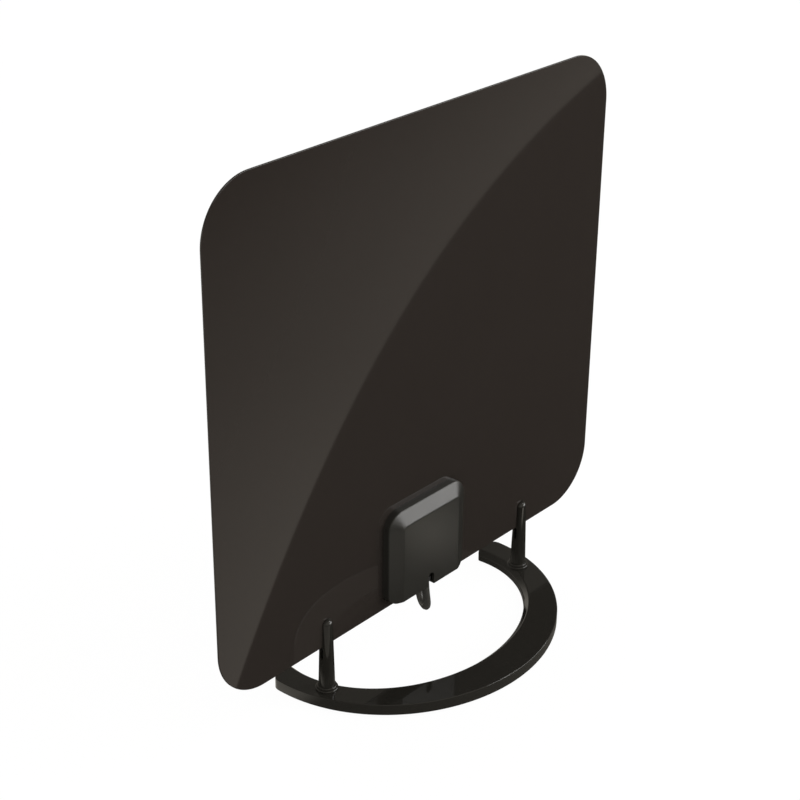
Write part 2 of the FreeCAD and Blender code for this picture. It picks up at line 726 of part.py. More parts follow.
def make_rear_plate():
    """The plate behind the panel that the box's screws clamp, countersunk for their heads."""
    plate = new_body("plate_body")
    outline = new_sketch(plate, "XZ", "plate_outline", -S["skin_rear"])
    x, low, top = S["box_width"] / 2, S["box_raise"], S["box_raise"] + S["box_height"]
    add_outline(outline, [(-x, low, S["box_low_corner"]), (x, low, S["box_low_corner"]),
                          (x, top, S["box_corner"]), (-x, top, S["box_corner"])])
    pad(plate, outline, S["plate_thick"], backwards=True)
    rear = S["skin_rear"] + S["plate_thick"]
    soften(plate, "Chamfer", "plate_bevel", S["plate_edge"], lambda edge: flat_at(edge, 1, rear))
    holes = new_sketch(plate, "XZ", "plate_holes", -S["skin_rear"])
    for hole_x, hole_z in screw_spots():
        add_circle(holes, hole_x, hole_z, S["pin_radius"] + S["screw_play"] * 2)
    pocket(plate, holes, S["plate_thick"])
    place_on_panel(plate)
    heads = []
    for index, (hole_x, hole_z) in enumerate(screw_spots(), start=1):
        cone = doc.addObject("Part::Cone", f"countersink_{index}")
        bind(cone, "Radius1", S["pin_radius"] + S["screw_play"] * 2)
        bind(cone, "Radius2", S["pin_head_radius"] + S["screw_play"] * 2)
        bind(cone, "Height", S["pin_head_high"])
        heads.append(place_on_panel(cone, hole_x, rear - S["pin_head_high"], hole_z, TO_REAR))
    sinks = group("countersinks", heads)
    boolean("Cut", "box_rear_plate", plate, sinks)


def make_box_screws():
    """Four countersunk screws with their heads flush in the rear plate."""
    pattern = new_body("box_screw_pattern")
    profile = new_sketch(pattern, "XZ", "box_screw_profile")
    add_outline(profile, [
        (ZERO, ZERO), (S["pin_head_radius"], ZERO), (S["pin_radius"], S["pin_head_high"]),
        (S["pin_radius"], S["pin_length"] - 0.6), (S["pin_radius"] * 0.4, S["pin_length"]),
        (ZERO, S["pin_length"]),
    ])
    turn(pattern, profile)
    drive = new_sketch(pattern, "XY", "box_screw_drive")
    arm, half = S["pin_head_radius"] * 0.55, S["pin_head_radius"] * 0.14
    add_outline(drive, [(arm, -half), (arm, half), (half, half), (half, arm), (-half, arm), (-half, half),
                        (-arm, half), (-arm, -half), (-half, -half), (-half, -arm), (half, -arm),
                        (half, -half)])
    pocket(pattern, drive, S["pin_head_high"] * 0.7, backwards=True)
    rear = S["skin_rear"] + S["plate_thick"]
    spots = [(x, PANEL_Y + rear, S["panel_raise"] + z) for x, z in screw_spots()]
    repeated("box_screws", pattern, spots, TO_FRONT)


def make_board():
    board = new_body("circuit_board")
    outline = new_sketch(board, "XZ", "board_outline", BOARD_REAR)
    x, low, top = S["board_width"] / 2, BOARD_LOW, BOARD_TOP
    add_outline(outline, [(-x, low), (x, low), (x, top), (-x, top)])
    pad(board, outline, S["board_thick"])
    holes = new_sketch(board, "XZ", "board_holes", BOARD_REAR)
    for side in (-1, 1):
        add_circle(holes, PEG_X * side, PEG_Z, S["peg_radius"] + S["seat_gap"])
    for contact_x, contact_z in contact_spots():
        add_circle(holes, contact_x, contact_z, S["contact_radius"] + S["screw_play"])
    pocket(board, holes, S["board_thick"], backwards=True)
    place_on_panel(board)


def make_contacts():
    """Two stepped rivets from the foils through the front sheet to the board, with their solder."""
    pattern = new_body("contact_pattern")
    profile = new_sketch(pattern, "XZ", "contact_profile")
    shank, collar = S["contact_radius"], S["contact_collar_radius"]
    add_outline(profile, [
        (ZERO, ZERO), (shank, ZERO), (shank, S["skin_front"]), (collar, S["skin_front"]),
        (collar, BOARD_REAR), (shank, BOARD_REAR), (shank, BOARD_FACE), (S["solder_radius"], BOARD_FACE),
        (S["solder_radius"], BOARD_FACE + S["solder_high"]), (ZERO, BOARD_FACE + S["solder_high"]),
    ])
    turn(pattern, profile)
    spots = [(x, PANEL_Y, S["panel_raise"] + z) for x, z in contact_spots()]
    repeated("feed_contacts", pattern, spots, TO_FRONT)


def make_balun():
    """A two-hole ferrite core on the board and the closed loop of wire through its holes."""
    core = new_body("balun_core")
    middle = CONTACT_Z + S["core_height"]
    centre_y = BOARD_FACE + S["core_thick"] / 2
    outline = new_sketch(core, "XY", "core_outline", middle - S["core_height"] / 2)
    x, half = S["core_width"] / 2, S["core_thick"] / 2
    corner = half * 0.6
    add_outline(outline, [(-x, -centre_y - half, corner), (x, -centre_y - half, corner),
                          (x, -centre_y + half, corner), (-x, -centre_y + half, corner)])
    hole_x = S["core_width"] / 4
    pad(core, outline, S["core_height"])
    holes = new_sketch(core, "XY", "core_holes", middle - S["core_height"] / 2)
    for side in (-1, 1):
        add_circle(holes, hole_x * side, -centre_y, S["core_hole_radius"])
    pocket(core, holes, S["core_height"], backwards=True)
    place_on_panel(core)

    wire, bundle = S["wire_radius"], S["wire_radius"] * 1.2
    reach = S["core_height"] / 2 + bundle + S["seat_gap"]
    pieces = []
    for side in (-1, 1):
        leg = cylinder("winding_leg", wire, reach * 2)
        bar = cylinder("winding_bar", bundle, (hole_x + bundle) * 2)
        pieces.append(place_on_panel(leg, hole_x * side, -centre_y, middle - reach))
        pieces.append(place_on_panel(bar, -hole_x - bundle, -centre_y, middle + reach * side,
                                     Rotation(Vector(0, 1, 0), 90)))
    winding = doc.addObject("Part::MultiFuse", "balun_winding")
    winding.Label = "balun_winding"
    winding.Shapes = pieces


def make_chips():
    pattern = doc.addObject("Part::Box", "chip_pattern")
    bind(pattern, "Length", S["chip_wide"])
    bind(pattern, "Width", S["chip_high"])
    bind(pattern, "Height", S["chip_long"])
    y = PANEL_Y - BOARD_FACE - S["chip_high"]
    z = S["panel_raise"] + CONTACT_Z - S["solder_radius"] - S["chip_gap"] - S["chip_long"]
    repeated("chip_capacitors", pattern,
             [(S["board_width"] * share, y, z) for share in (-0.34, -0.2, 0.16, 0.3)])


def make_cable_end():
    """The cable's end inside the box: jacket, crimp ring, then braid and core on the board."""
    y = -CABLE_Y
    jacket = cylinder("cable_lead", S["cable_radius"], S["cable_inside"])
    place_on_panel(jacket, ZERO, y, S["box_raise"])
    ring = cylinder("crimp_blank", S["crimp_radius"], S["crimp_length"])
    ring_z = S["box_raise"] + S["box_wall"] + S["seat_gap"]
    place_on_panel(ring, ZERO, y, ring_z)
    boolean("Cut", "crimp_ring", ring, jacket)
    stripped = new_body("cable_core")
    profile = new_sketch(stripped, "XZ", "core_profile")
    top = S["braid_length"] + S["core_wire_length"]
    add_outline(profile, [
        (ZERO, ZERO), (S["braid_radius"], ZERO), (S["braid_radius"], S["braid_length"]),
        (S["core_wire_radius"], S["braid_length"]), (S["core_wire_radius"], top), (ZERO, top),
    ])
    turn(stripped, profile)
    axis_y = -(BOARD_FACE + S["braid_radius"] + S["seat_gap"] / 2)
    place_on_panel(stripped, ZERO, axis_y, S["box_raise"] + S["cable_inside"])


# ---- the loose cable --------------------------------------------------------------------------

COIL_X = S["coil_side_shift"]
COIL_Y = PANEL_Y + S["coil_behind"]
COIL_LOW = S["tie_thick"]
COIL_HIGH = COIL_LOW + S["cable_radius"] * 4


def cable_route():
    """Corners of the cable's loose stretch, chosen by hand, from the notch to the coil.

    X from the panel's middle, Y from the plane where the sheets meet, Z from the table."""
    return [
        (0.0, -3.7, 35.7),
        (0.0, -3.7, 30.5),
        (1.8, -4.3, 18.9),
        (5.2, 4.2, 18.9),
        (5.2, 6.8, 36.2),
        (5.6, 14.5, 52.7),
        (6.5, 31.5, 60.0),
        (7.2, 45.5, 49.5),
        (7.6, 49.0, 32.0),
        (8.0, 56.0, 15.5),
        (8.3, 69.0, 4.0),
        (8.4, 82.0, 2.5),
    ]


def rounded_path(corners):
    """Straight runs joined by tangent arcs. Returns the wire, its length and the arcs' radii."""
    edges, radii = [], []
    start = corners[0]
    for before, corner, after in zip(corners, corners[1:], corners[2:]):
        back, forth = before - corner, after - corner
        turn_angle = math.pi - back.getAngle(forth)
        radius = 0.45 * min(back.Length, forth.Length) / math.tan(turn_angle / 2)
        setback = radius * math.tan(turn_angle / 2)
        back.normalize()
        forth.normalize()
        enter, leave = corner + back * setback, corner + forth * setback
        inward = (back + forth).normalize()
        middle = corner + inward * (radius / math.cos(turn_angle / 2) - radius)
        edges.append(Part.LineSegment(start, enter).toShape())
        edges.append(Part.Arc(enter, middle, leave).toShape())
        radii.append(round(radius, 1))
        start = leave
    edges.append(Part.LineSegment(start, corners[-1]).toShape())
    wire = Part.Wire(edges)
    return wire, wire.Length, radii


def make_loose_cable():
    y0 = PANEL_Y.number
    corners = [Vector(x, y0 + y, z) for x, y, z in cable_route()]
    path, length, radii = rounded_path(corners)
    radius = S["cable_radius"].number
    along = corners[1] - corners[0]
    section = Part.Wire([Part.Circle(corners[0], along, radius).toShape()])
    tube = path.makePipeShell([section], True, True)
    made = doc.addObject("Part::Feature", "loose_cable")
    made.Label = "loose_cable"
    made.Shape = tube
    expected = math.pi * radius ** 2 * length
    print("loose cable: length", round(length, 1), "radii", radii,
          "volume share", round(tube.Volume / expected, 4))


def make_coil():
    """The outer form of the wound cable, two turns high."""
    coil = new_body("cable_coil")
    profile = new_sketch(coil, "XZ", "coil_profile")
    outer = S["coil_radius"] + S["cable_radius"]
    inner = outer - S["coil_width"]
    edge = S["cable_radius"] * 0.6
    add_outline(profile, [(inner + edge, COIL_LOW), (outer - edge, COIL_LOW),
                          (outer, COIL_LOW + edge), (outer, COIL_HIGH - edge),
                          (outer - edge, COIL_HIGH), (inner + edge, COIL_HIGH),
                          (inner, COIL_HIGH - edge), (inner, COIL_LOW + edge)])
    turn(coil, profile)
    place(coil, COIL_X, COIL_Y, ZERO)


def make_tie():
    """A flat band round the coil's section, with its locking head on the outside."""
    tie = new_body("coil_tie")
    outer = S["coil_radius"] + S["cable_radius"] + S["tie_play"]
    inner = outer - S["coil_width"] - S["tie_play"] * 2
    low, high, thick = COIL_LOW, COIL_HIGH + S["tie_play"], S["tie_thick"]
    band = new_sketch(tie, "XZ", "tie_band")
    bow = S["tie_width"] * 0.15
    corner = S["cable_radius"] * 0.5
    add_outline(band, [(inner - thick - bow, low - thick, corner + thick),
                       (outer + thick, low - thick, corner + thick),
                       (outer + thick, high + thick, corner + thick),
                       (inner - thick - bow, high + thick, corner + thick)])
    add_outline(band, [(inner - bow, low, corner), (outer, low, corner), (outer, high, corner),
                       (inner - bow, high, corner)])
    pad(tie, band, S["tie_width"], both_ways=True)
    head = new_sketch(tie, "XZ", "tie_head")
    add_outline(head, [(outer + thick * 0.5, low + 1), (outer + 3.4, low + 1), (outer + 3.4, high - 1),
                       (outer + thick * 0.5, high - 1)])
    pad(tie, head, S["tie_width"] + 1, both_ways=True)
    place(tie, COIL_X, COIL_Y, ZERO, Rotation(Vector(0, 0, 1), TIE_ANGLE))


# ---- the plug ---------------------------------------------------------------------------------
# Its pieces are turned about their own Z axis, from the cable at Z = 0 to the pin, and laid down along
# the tangent at which the cable leaves the coil's upper layer.

EXIT = math.radians(COIL_EXIT_ANGLE)
ALONG_PLUG = Rotation(Vector(0, 0, 1), Vector(math.sin(EXIT), -math.cos(EXIT), 0))


def place_on_plug(thing, along):
    """Lays a piece down on the line of the plug, this far from where the cable leaves the coil."""
    x = COIL_X + S["coil_radius"] * math.cos(EXIT) + along * math.sin(EXIT)
    y = COIL_Y + S["coil_radius"] * math.sin(EXIT) - along * math.cos(EXIT)
    return place(thing, x, y, S["nut_across_flats"] / 2, ALONG_PLUG)


def turned_piece(label, outline):
    made = new_body(label)
    profile = new_sketch(made, "XZ", label + "_profile")
    add_outline(profile, outline)
    turn(made, profile)
    return made


def make_plug():
    tail_start = S["tail_length"] * 0.45
    tail_end = S["tail_length"] + S["sleeve_length"] - S["seat_gap"]
    tail = cylinder("cable_tail", S["cable_radius"], tail_end - tail_start)
    place_on_plug(tail, tail_start)

    bore = S["cable_radius"] + S["sleeve_play"]
    sleeve = turned_piece("plug_sleeve", [
        (bore, ZERO), (S["sleeve_radius"], ZERO), (S["sleeve_radius"], S["sleeve_length"]),
        (bore, S["sleeve_length"])])
    place_on_plug(sleeve, S["tail_length"])

    lip_start, lip_end = NUT_START, NUT_START + S["nut_lip"]
    flange_start = lip_end + S["seat_gap"]
    flange_end = flange_start + S["flange_thick"]
    hollow = S["dielectric_radius"]
    body = turned_piece("plug_body", [
        (hollow, S["sleeve_length"]), (S["neck_radius"], S["sleeve_length"]),
        (S["neck_radius"], flange_start), (S["flange_radius"], flange_start),
        (S["flange_radius"], flange_end), (hollow, flange_end)])
    place_on_plug(body, S["tail_length"])

    dielectric = turned_piece("plug_dielectric", [
        (S["core_wire_radius"], S["sleeve_length"]), (hollow, S["sleeve_length"]), (hollow, flange_end),
        (S["core_wire_radius"], flange_end)])
    place_on_plug(dielectric, S["tail_length"])
    pin_length = NUT_END + S["pin_proud"] - S["sleeve_length"]
    pin = cylinder("plug_pin", S["core_wire_radius"], pin_length)
    place_on_plug(pin, S["tail_length"] + S["sleeve_length"])

    nut = new_body("plug_nut")
    hexagon = new_sketch(nut, "XY", "nut_hexagon", NUT_START)
    corner_radius = S["nut_across_flats"] / math.sqrt(3)
    corner_angles = [math.radians(60 * index + COIL_EXIT_ANGLE - 60) for index in range(6)]
    add_outline(hexagon, [(corner_radius * math.cos(angle), corner_radius * math.sin(angle))
                          for angle in corner_angles])
    pad(nut, hexagon, S["nut_length"])
    lip = new_sketch(nut, "XY", "nut_lip_bore", NUT_START)
    add_circle(lip, ZERO, ZERO, S["neck_radius"] + S["neck_play"])
    pocket(nut, lip, S["nut_length"], backwards=True)
    bore_sketch = new_sketch(nut, "XY", "nut_thread_bore", lip_end)
    add_circle(bore_sketch, ZERO, ZERO, S["thread_radius"])
    pocket(nut, bore_sketch, S["nut_length"], backwards=True)
    place_on_plug(nut, S["tail_length"])


# ---- the whole ---------------------------------------------------------------------------------

PARTS = [
    "base_ring", "rubber_feet", "left_post", "right_post", "post_screws",
    "front_sheet", "rear_sheet", "left_radiator", "right_radiator",
    "box_cover", "box_rear_plate", "box_screws", "circuit_board", "feed_contacts",
    "balun_core", "balun_winding", "chip_capacitors", "cable_lead", "crimp_ring", "cable_core",
    "loose_cable", "cable_coil", "coil_tie", "cable_tail",
    "plug_sleeve", "plug_body", "plug_dielectric", "plug_pin", "plug_nut",
]

make_ring()
make_feet()
make_post("left_post", -1)
make_post("right_post", 1)
make_post_screws()
make_front_sheet()
make_rear_sheet()
make_cover()
make_rear_plate()
make_box_screws()
make_board()
make_contacts()
make_balun()
make_chips()
make_cable_end()
make_loose_cable()
make_coil()
make_tie()
make_plug()
doc.recompute()

failed = [item.Name for item in doc.Objects if "Invalid" in item.State or "Error" in item.State]
if failed:
    raise ValueError(f"failed objects: {failed}")
by_label = {item.Label: item for item in doc.Objects}
for name in PARTS:
    shape = by_label[name].Shape
    if shape.isNull() or not shape.isValid() or not shape.Solids:
        raise ValueError(f"{name} has no valid solid")
os.makedirs("parts", exist_ok=True)
for name in PARTS:
    shape = by_label[name].Shape
    shape.exportStep(f"parts/{name}.step")
    box = shape.optimalBoundingBox()
    print(f"{name}: {len(shape.Solids)} solids, {shape.Volume:.1f} mm3, X {box.XMin:.2f} {box.XMax:.2f}, "
          f"Y {box.YMin:.2f} {box.YMax:.2f}, Z {box.ZMin:.2f} {box.ZMax:.2f}")
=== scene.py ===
"""A flat indoor television antenna: a glossy laminated panel with a moulded junction box, pushed into
two slotted posts on a C-shaped foot, and its thin cable with a screw-on plug."""
import math

import bmesh
import bpy
from mathutils import Matrix, Vector


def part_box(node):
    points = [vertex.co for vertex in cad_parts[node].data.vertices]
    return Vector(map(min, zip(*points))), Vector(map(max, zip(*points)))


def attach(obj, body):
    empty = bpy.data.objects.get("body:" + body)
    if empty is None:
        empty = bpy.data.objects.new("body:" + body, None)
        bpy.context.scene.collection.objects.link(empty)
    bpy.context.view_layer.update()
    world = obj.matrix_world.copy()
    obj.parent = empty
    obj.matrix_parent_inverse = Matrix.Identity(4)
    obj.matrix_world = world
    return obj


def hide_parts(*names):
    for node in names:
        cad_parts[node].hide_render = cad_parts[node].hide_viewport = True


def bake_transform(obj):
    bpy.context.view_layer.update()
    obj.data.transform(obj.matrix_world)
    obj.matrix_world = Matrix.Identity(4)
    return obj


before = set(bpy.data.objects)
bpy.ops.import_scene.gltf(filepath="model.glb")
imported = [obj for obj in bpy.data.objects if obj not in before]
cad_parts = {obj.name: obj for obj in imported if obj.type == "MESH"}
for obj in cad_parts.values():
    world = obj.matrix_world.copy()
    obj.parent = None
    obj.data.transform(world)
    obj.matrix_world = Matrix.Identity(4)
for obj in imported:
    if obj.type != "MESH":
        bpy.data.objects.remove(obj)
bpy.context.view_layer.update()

MM = 0.001
MERGED = 1e-7                                # corners this close become one
LEVEL_SLACK = 2e-6                           # how far a corner may lie off a level and still be on it
ROUND_SLACK = 2e-5                           # the same for a radius
sheet_low, sheet_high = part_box("front_sheet")
ring_low, ring_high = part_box("base_ring")
PANEL_PLANE = sheet_high.y                   # where the front and the rear sheet meet
PANEL_CENTRE = Vector(((sheet_low.x + sheet_high.x) / 2, PANEL_PLANE,
                       (sheet_low.z + sheet_high.z) / 2))
RING_MIDDLE = (ring_low.x + ring_high.x) / 2
RING_TOP = ring_high.z
EXIT_ANGLE = math.radians(30)                # the plug's line, turned from the front to the right


# ---- camera -----------------------------------------------------------------------------------

ELEVATION, AZIMUTH, ROLL = (math.radians(angle) for angle in (26.60, -49.24, 0.59))
CAMERA_AWAY, CAMERA_LEFT, CAMERA_DOWN = 0.85366, 0.01096, 0.01788     # from the panel's centre
SENSOR_WIDTH, FOCAL_LENGTH = 36.0, 80.81                              # millimetres


def place_camera():
    back = Vector((math.sin(AZIMUTH) * math.cos(ELEVATION), -math.cos(AZIMUTH) * math.cos(ELEVATION),
                   math.sin(ELEVATION)))
    right = Vector((math.cos(AZIMUTH), math.sin(AZIMUTH), 0))
    up = back.cross(right)
    spot = PANEL_CENTRE + back * CAMERA_AWAY - right * CAMERA_LEFT - up * CAMERA_DOWN
    rolled_right = right * math.cos(ROLL) + up * math.sin(ROLL)
    rolled_up = up * math.cos(ROLL) - right * math.sin(ROLL)
    data = bpy.data.cameras.new("camera")
    data.sensor_width, data.lens = SENSOR_WIDTH, FOCAL_LENGTH
    data.clip_start, data.clip_end = 0.05, 30
    camera = bpy.data.objects.new("camera", data)
    bpy.context.collection.objects.link(camera)
    turned_to = Matrix((rolled_right, rolled_up, back)).transposed().to_4x4()
    camera.matrix_world = Matrix.Translation(spot) @ turned_to
    bpy.context.scene.camera = camera


place_camera()


# ---- shader nodes -----------------------------------------------------------------------------

def feed(tree, value, socket):
    """Links a socket to another node's output, or sets it to a plain value."""
    if isinstance(value, bpy.types.NodeSocket):
        tree.links.new(value, socket)
    else:
        socket.default_value = value


def object_point(tree):
    return tree.nodes.new("ShaderNodeTexCoord").outputs["Object"]


def axes_of(tree, vector):
    """A vector's X, Y and Z, as sockets."""
    parts = tree.nodes.new("ShaderNodeSeparateXYZ")
    tree.links.new(vector, parts.inputs[0])
    return parts.outputs


def noise_of(tree, point, scale, detail, roughness=0.5):
    noise = tree.nodes.new("ShaderNodeTexNoise")
    noise.inputs["Detail"].default_value = detail
    noise.inputs["Roughness"].default_value = roughness
    tree.links.new(point, noise.inputs["Vector"])
    feed(tree, scale, noise.inputs["Scale"])
    return noise.outputs["Fac"]


def ranged(tree, value, low, high, new_low, new_high, soft=True):
    """Takes a value from one range to another, eased at both ends when soft."""
    span = tree.nodes.new("ShaderNodeMapRange")
    span.interpolation_type = "SMOOTHSTEP" if soft else "LINEAR"
    tree.links.new(value, span.inputs["Value"])
    for label, number in (("From Min", low), ("From Max", high),
                          ("To Min", new_low), ("To Max", new_high)):
        feed(tree, number, span.inputs[label])
    return span.outputs["Result"]


def calculated(tree, operation, first, *others):
    """Runs one operation along several values; a lone value is worked on by itself."""
    for other in others or (0.0,):
        node = tree.nodes.new("ShaderNodeMath")
        node.operation = operation
        feed(tree, first, node.inputs[0])
        feed(tree, other, node.inputs[1])
        first = node.outputs[0]
    return first


# ---- surface effects shared by the materials --------------------------------------------------

def new_group(name, inputs, outputs):
    """An empty shader group with these named value inputs (with defaults) and value outputs."""
    group = bpy.data.node_groups.new(name, "ShaderNodeTree")
    for label, start in inputs:
        socket = group.interface.new_socket(label, in_out="INPUT", socket_type="NodeSocketFloat")
        socket.default_value = start
    for label in outputs:
        group.interface.new_socket(label, in_out="OUTPUT", socket_type="NodeSocketFloat")
    given = group.nodes.new("NodeGroupInput").outputs
    return group, given, group.nodes.new("NodeGroupOutput").inputs


def make_moulded_grain():
    """Fine moulded grain as a height, and slow changes of tone, for plastic, film and rubber."""
    group, given, result = new_group(
        "moulded_grain", [("Grains per metre", 2500), ("Patches per metre", 18)], ["Height", "Tone"])
    point = object_point(group)
    fine = noise_of(group, point, given["Grains per metre"], 2, 0.6)
    slow = noise_of(group, point, given["Patches per metre"], 3)
    group.links.new(fine, result["Height"])
    group.links.new(ranged(group, slow, 0.3, 0.7, 0, 1), result["Tone"])
    return group


def make_handling_marks():
    """Faint finger smudges and dust specks on glossy faces."""
    group, given, result = new_group(
        "handling_marks", [("Smudges per metre", 22), ("Specks per metre", 420)], ["Smudge", "Dust"])
    point = object_point(group)
    slow = noise_of(group, point, given["Smudges per metre"], 5, 0.65)
    group.links.new(ranged(group, slow, 0.48, 0.72, 0, 1), result["Smudge"])
    cells = group.nodes.new("ShaderNodeTexVoronoi")
    group.links.new(point, cells.inputs["Vector"])
    group.links.new(given["Specks per metre"], cells.inputs["Scale"])
    near = ranged(group, cells.outputs["Distance"], 0.02, 0.09, 1, 0)
    lottery = group.nodes.new("ShaderNodeSeparateColor")
    group.links.new(cells.outputs["Color"], lottery.inputs["Color"])
    rare = ranged(group, lottery.outputs[0], 0.93, 0.95, 0, 1)
    group.links.new(calculated(group, "MULTIPLY", near, rare), result["Dust"])
    return group


def make_machining():
    """Fine turning rings on metal as a height, and small patches of tarnish."""
    group, given, result = new_group(
        "machining", [("Rings per metre", 6000), ("Patches per metre", 160)], ["Height", "Tarnish"])
    point = object_point(group)
    stretch = group.nodes.new("ShaderNodeMapping")
    stretch.inputs["Rotation"].default_value = (0, 0, EXIT_ANGLE)
    stretch.inputs["Scale"].default_value = (0.05, 1, 0.05)
    group.links.new(point, stretch.inputs["Vector"])
    rings = noise_of(group, stretch.outputs["Vector"], given["Rings per metre"], 1)
    group.links.new(rings, result["Height"])
    patches = noise_of(group, point, given["Patches per metre"], 4)
    group.links.new(ranged(group, patches, 0.45, 0.75, 0, 1), result["Tarnish"])
    return group


MOULDED_GRAIN = make_moulded_grain()
HANDLING_MARKS = make_handling_marks()
MACHINING = make_machining()


# ---- materials --------------------------------------------------------------------------------

def new_material(name):
    material = bpy.data.materials.new(name)
    material.use_nodes = True
    tree = material.node_tree
    return material, tree, tree.nodes["Principled BSDF"]


def effect(tree, group, **values):
    node = tree.nodes.new("ShaderNodeGroup")
    node.node_tree = group
    for label, value in values.items():
        node.inputs[label.replace("_", " ")].default_value = value
    return node.outputs


def toned(tree, shader, mask, first, second):
    """Colours a shader from the first tone to the second as the mask rises."""
    mix = tree.nodes.new("ShaderNodeMix")
    mix.data_type = "RGBA"
    tree.links.new(mask, mix.inputs["Factor"])
    mix.inputs["A"].default_value = (*first, 1)
    mix.inputs["B"].default_value = (*second, 1)
    tree.links.new(mix.outputs["Result"], shader.inputs["Base Color"])


def raised(tree, shader, height, depth):
    bump = tree.nodes.new("ShaderNodeBump")
    bump.inputs["Distance"].default_value = depth
    bump.inputs["Strength"].default_value = 1.0
    tree.links.new(height, bump.inputs["Height"])
    tree.links.new(bump.outputs["Normal"], shader.inputs["Normal"])


def glossy_plastic(name, dark, light, roughness, smudged):
    """High-gloss black plastic: nearly a mirror, a little duller under faint smudges and dust."""
    material, tree, shader = new_material(name)
    marks = effect(tree, HANDLING_MARKS)
    grain = effect(tree, MOULDED_GRAIN)
    cloudy = calculated(tree, "MULTIPLY", grain["Tone"], 0.5)
    toned(tree, shader, calculated(tree, "MAXIMUM", cloudy, marks["Dust"]), dark, light)
    dulled = calculated(tree, "MAXIMUM", marks["Smudge"], marks["Dust"])
    tree.links.new(ranged(tree, dulled, 0, 1, roughness, smudged), shader.inputs["Roughness"])
    shader.inputs["IOR"].default_value = 1.5
    return material


def grained_plastic(name, dark, light, roughness, spread, grains, depth, patches):
    """Moulded plastic, film, cable jacket or rubber with a fine grain."""
    material, tree, shader = new_material(name)
    grain = effect(tree, MOULDED_GRAIN, Grains_per_metre=grains, Patches_per_metre=patches)
    toned(tree, shader, grain["Tone"], dark, light)
    tree.links.new(ranged(tree, grain["Tone"], 0, 1, roughness - spread, roughness + spread),
                   shader.inputs["Roughness"])
    raised(tree, shader, grain["Height"], depth)
    return material


def bare_metal(name, bright, tarnished, roughness, depth, patches):
    """Machined or rolled metal, rougher where it's tarnished."""
    material, tree, shader = new_material(name)
    work = effect(tree, MACHINING, Patches_per_metre=patches)
    toned(tree, shader, work["Tarnish"], bright, tarnished)
    shader.inputs["Metallic"].default_value = 1.0
    tree.links.new(ranged(tree, work["Tarnish"], 0, 1, roughness, roughness + 0.18),
                   shader.inputs["Roughness"])
    raised(tree, shader, work["Height"], depth)
    return material


# Name, dark tone, light tone, roughness where clean, roughness under smudges.
GLOSSY_PLASTICS = (
    ("panel_gloss", (0.0240, 0.0198, 0.0171), (0.0250, 0.0207, 0.0180), 0.03, 0.035),
    ("stand_gloss", (0.0165, 0.0154, 0.0130), (0.0190, 0.0178, 0.0152), 0.06, 0.08),
)

# Name, dark tone, light tone, roughness, its spread, grains per metre, their depth, patches per metre.
GRAINED_PLASTICS = (
    ("panel_rear", (0.0220, 0.0212, 0.0200), (0.0255, 0.0246, 0.0232), 0.42, 0.03, 3200, 0.00004, 18),
    ("box_satin", (0.0195, 0.0187, 0.0160), (0.0212, 0.0203, 0.0174), 0.30, 0.02, 4200, 0.000025, 40),
    ("foot_rubber", (0.016, 0.016, 0.016), (0.026, 0.026, 0.025), 0.78, 0.05, 1800, 0.00008, 120),
    ("cable_jacket", (0.0480, 0.0462, 0.0412), (0.0620, 0.0596, 0.0536), 0.30, 0.04, 1500, 0.00004, 60),
    ("tie_plastic", (0.012, 0.012, 0.012), (0.020, 0.020, 0.020), 0.45, 0.05, 2400, 0.00004, 90),
    ("dielectric", (0.74, 0.73, 0.68), (0.82, 0.81, 0.77), 0.48, 0.05, 900, 0.00003, 200),
    ("board", (0.012, 0.070, 0.030), (0.018, 0.105, 0.045), 0.42, 0.05, 700, 0.00003, 260),
    ("ferrite", (0.022, 0.021, 0.020), (0.040, 0.038, 0.036), 0.62, 0.06, 1600, 0.00006, 300),
    ("chip", (0.20, 0.14, 0.09), (0.32, 0.24, 0.16), 0.40, 0.06, 1200, 0.00002, 700),
)

# Name, bright tone, tarnished tone, roughness, depth of its rings, patches of tarnish per metre.
METALS = (
    ("screw_steel", (0.42, 0.42, 0.43), (0.24, 0.23, 0.22), 0.28, 0.00001, 160),
    ("plug_nickel", (0.66, 0.64, 0.60), (0.50, 0.48, 0.44), 0.20, 0.00002, 160),
    ("copper", (0.70, 0.33, 0.19), (0.45, 0.20, 0.11), 0.25, 0.00001, 400),
    ("foil", (0.74, 0.74, 0.73), (0.60, 0.60, 0.59), 0.30, 0.00004, 90),
    ("contact_brass", (0.72, 0.53, 0.26), (0.48, 0.34, 0.16), 0.25, 0.00001, 300),
)

MATERIALS = {name: make(name, *looks)
             for make, rows in ((glossy_plastic, GLOSSY_PLASTICS), (grained_plastic, GRAINED_PLASTICS),
                                (bare_metal, METALS))
             for name, *looks in rows}

NODE_FINISHES = {
    "left_radiator": "foil", "right_radiator": "foil", "circuit_board": "board",
    "feed_contacts": "contact_brass", "balun_core": "ferrite", "balun_winding": "copper",
    "chip_capacitors": "chip", "cable_lead": "cable_jacket", "crimp_ring": "tie_plastic",
    "cable_core": "plug_nickel", "rubber_feet": "foot_rubber", "post_screws": "screw_steel",
    "box_rear_plate": "box_satin", "box_screws": "screw_steel", "plug_dielectric": "dielectric",
}


def finish_nodes():
    """Every solid that shows as it is gets its own finish."""
    for node, finish in NODE_FINISHES.items():
        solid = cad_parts[node]
        if not solid.material_slots:
            solid.data.materials.append(None)
        for slot in solid.material_slots:
            slot.link = "OBJECT"
            slot.material = MATERIALS[finish]


finish_nodes()


# ---- making pieces ----------------------------------------------------------------------------

def add_object(name, mesh):
    piece = bpy.data.objects.new(name, mesh)
    bpy.context.collection.objects.link(piece)
    return piece


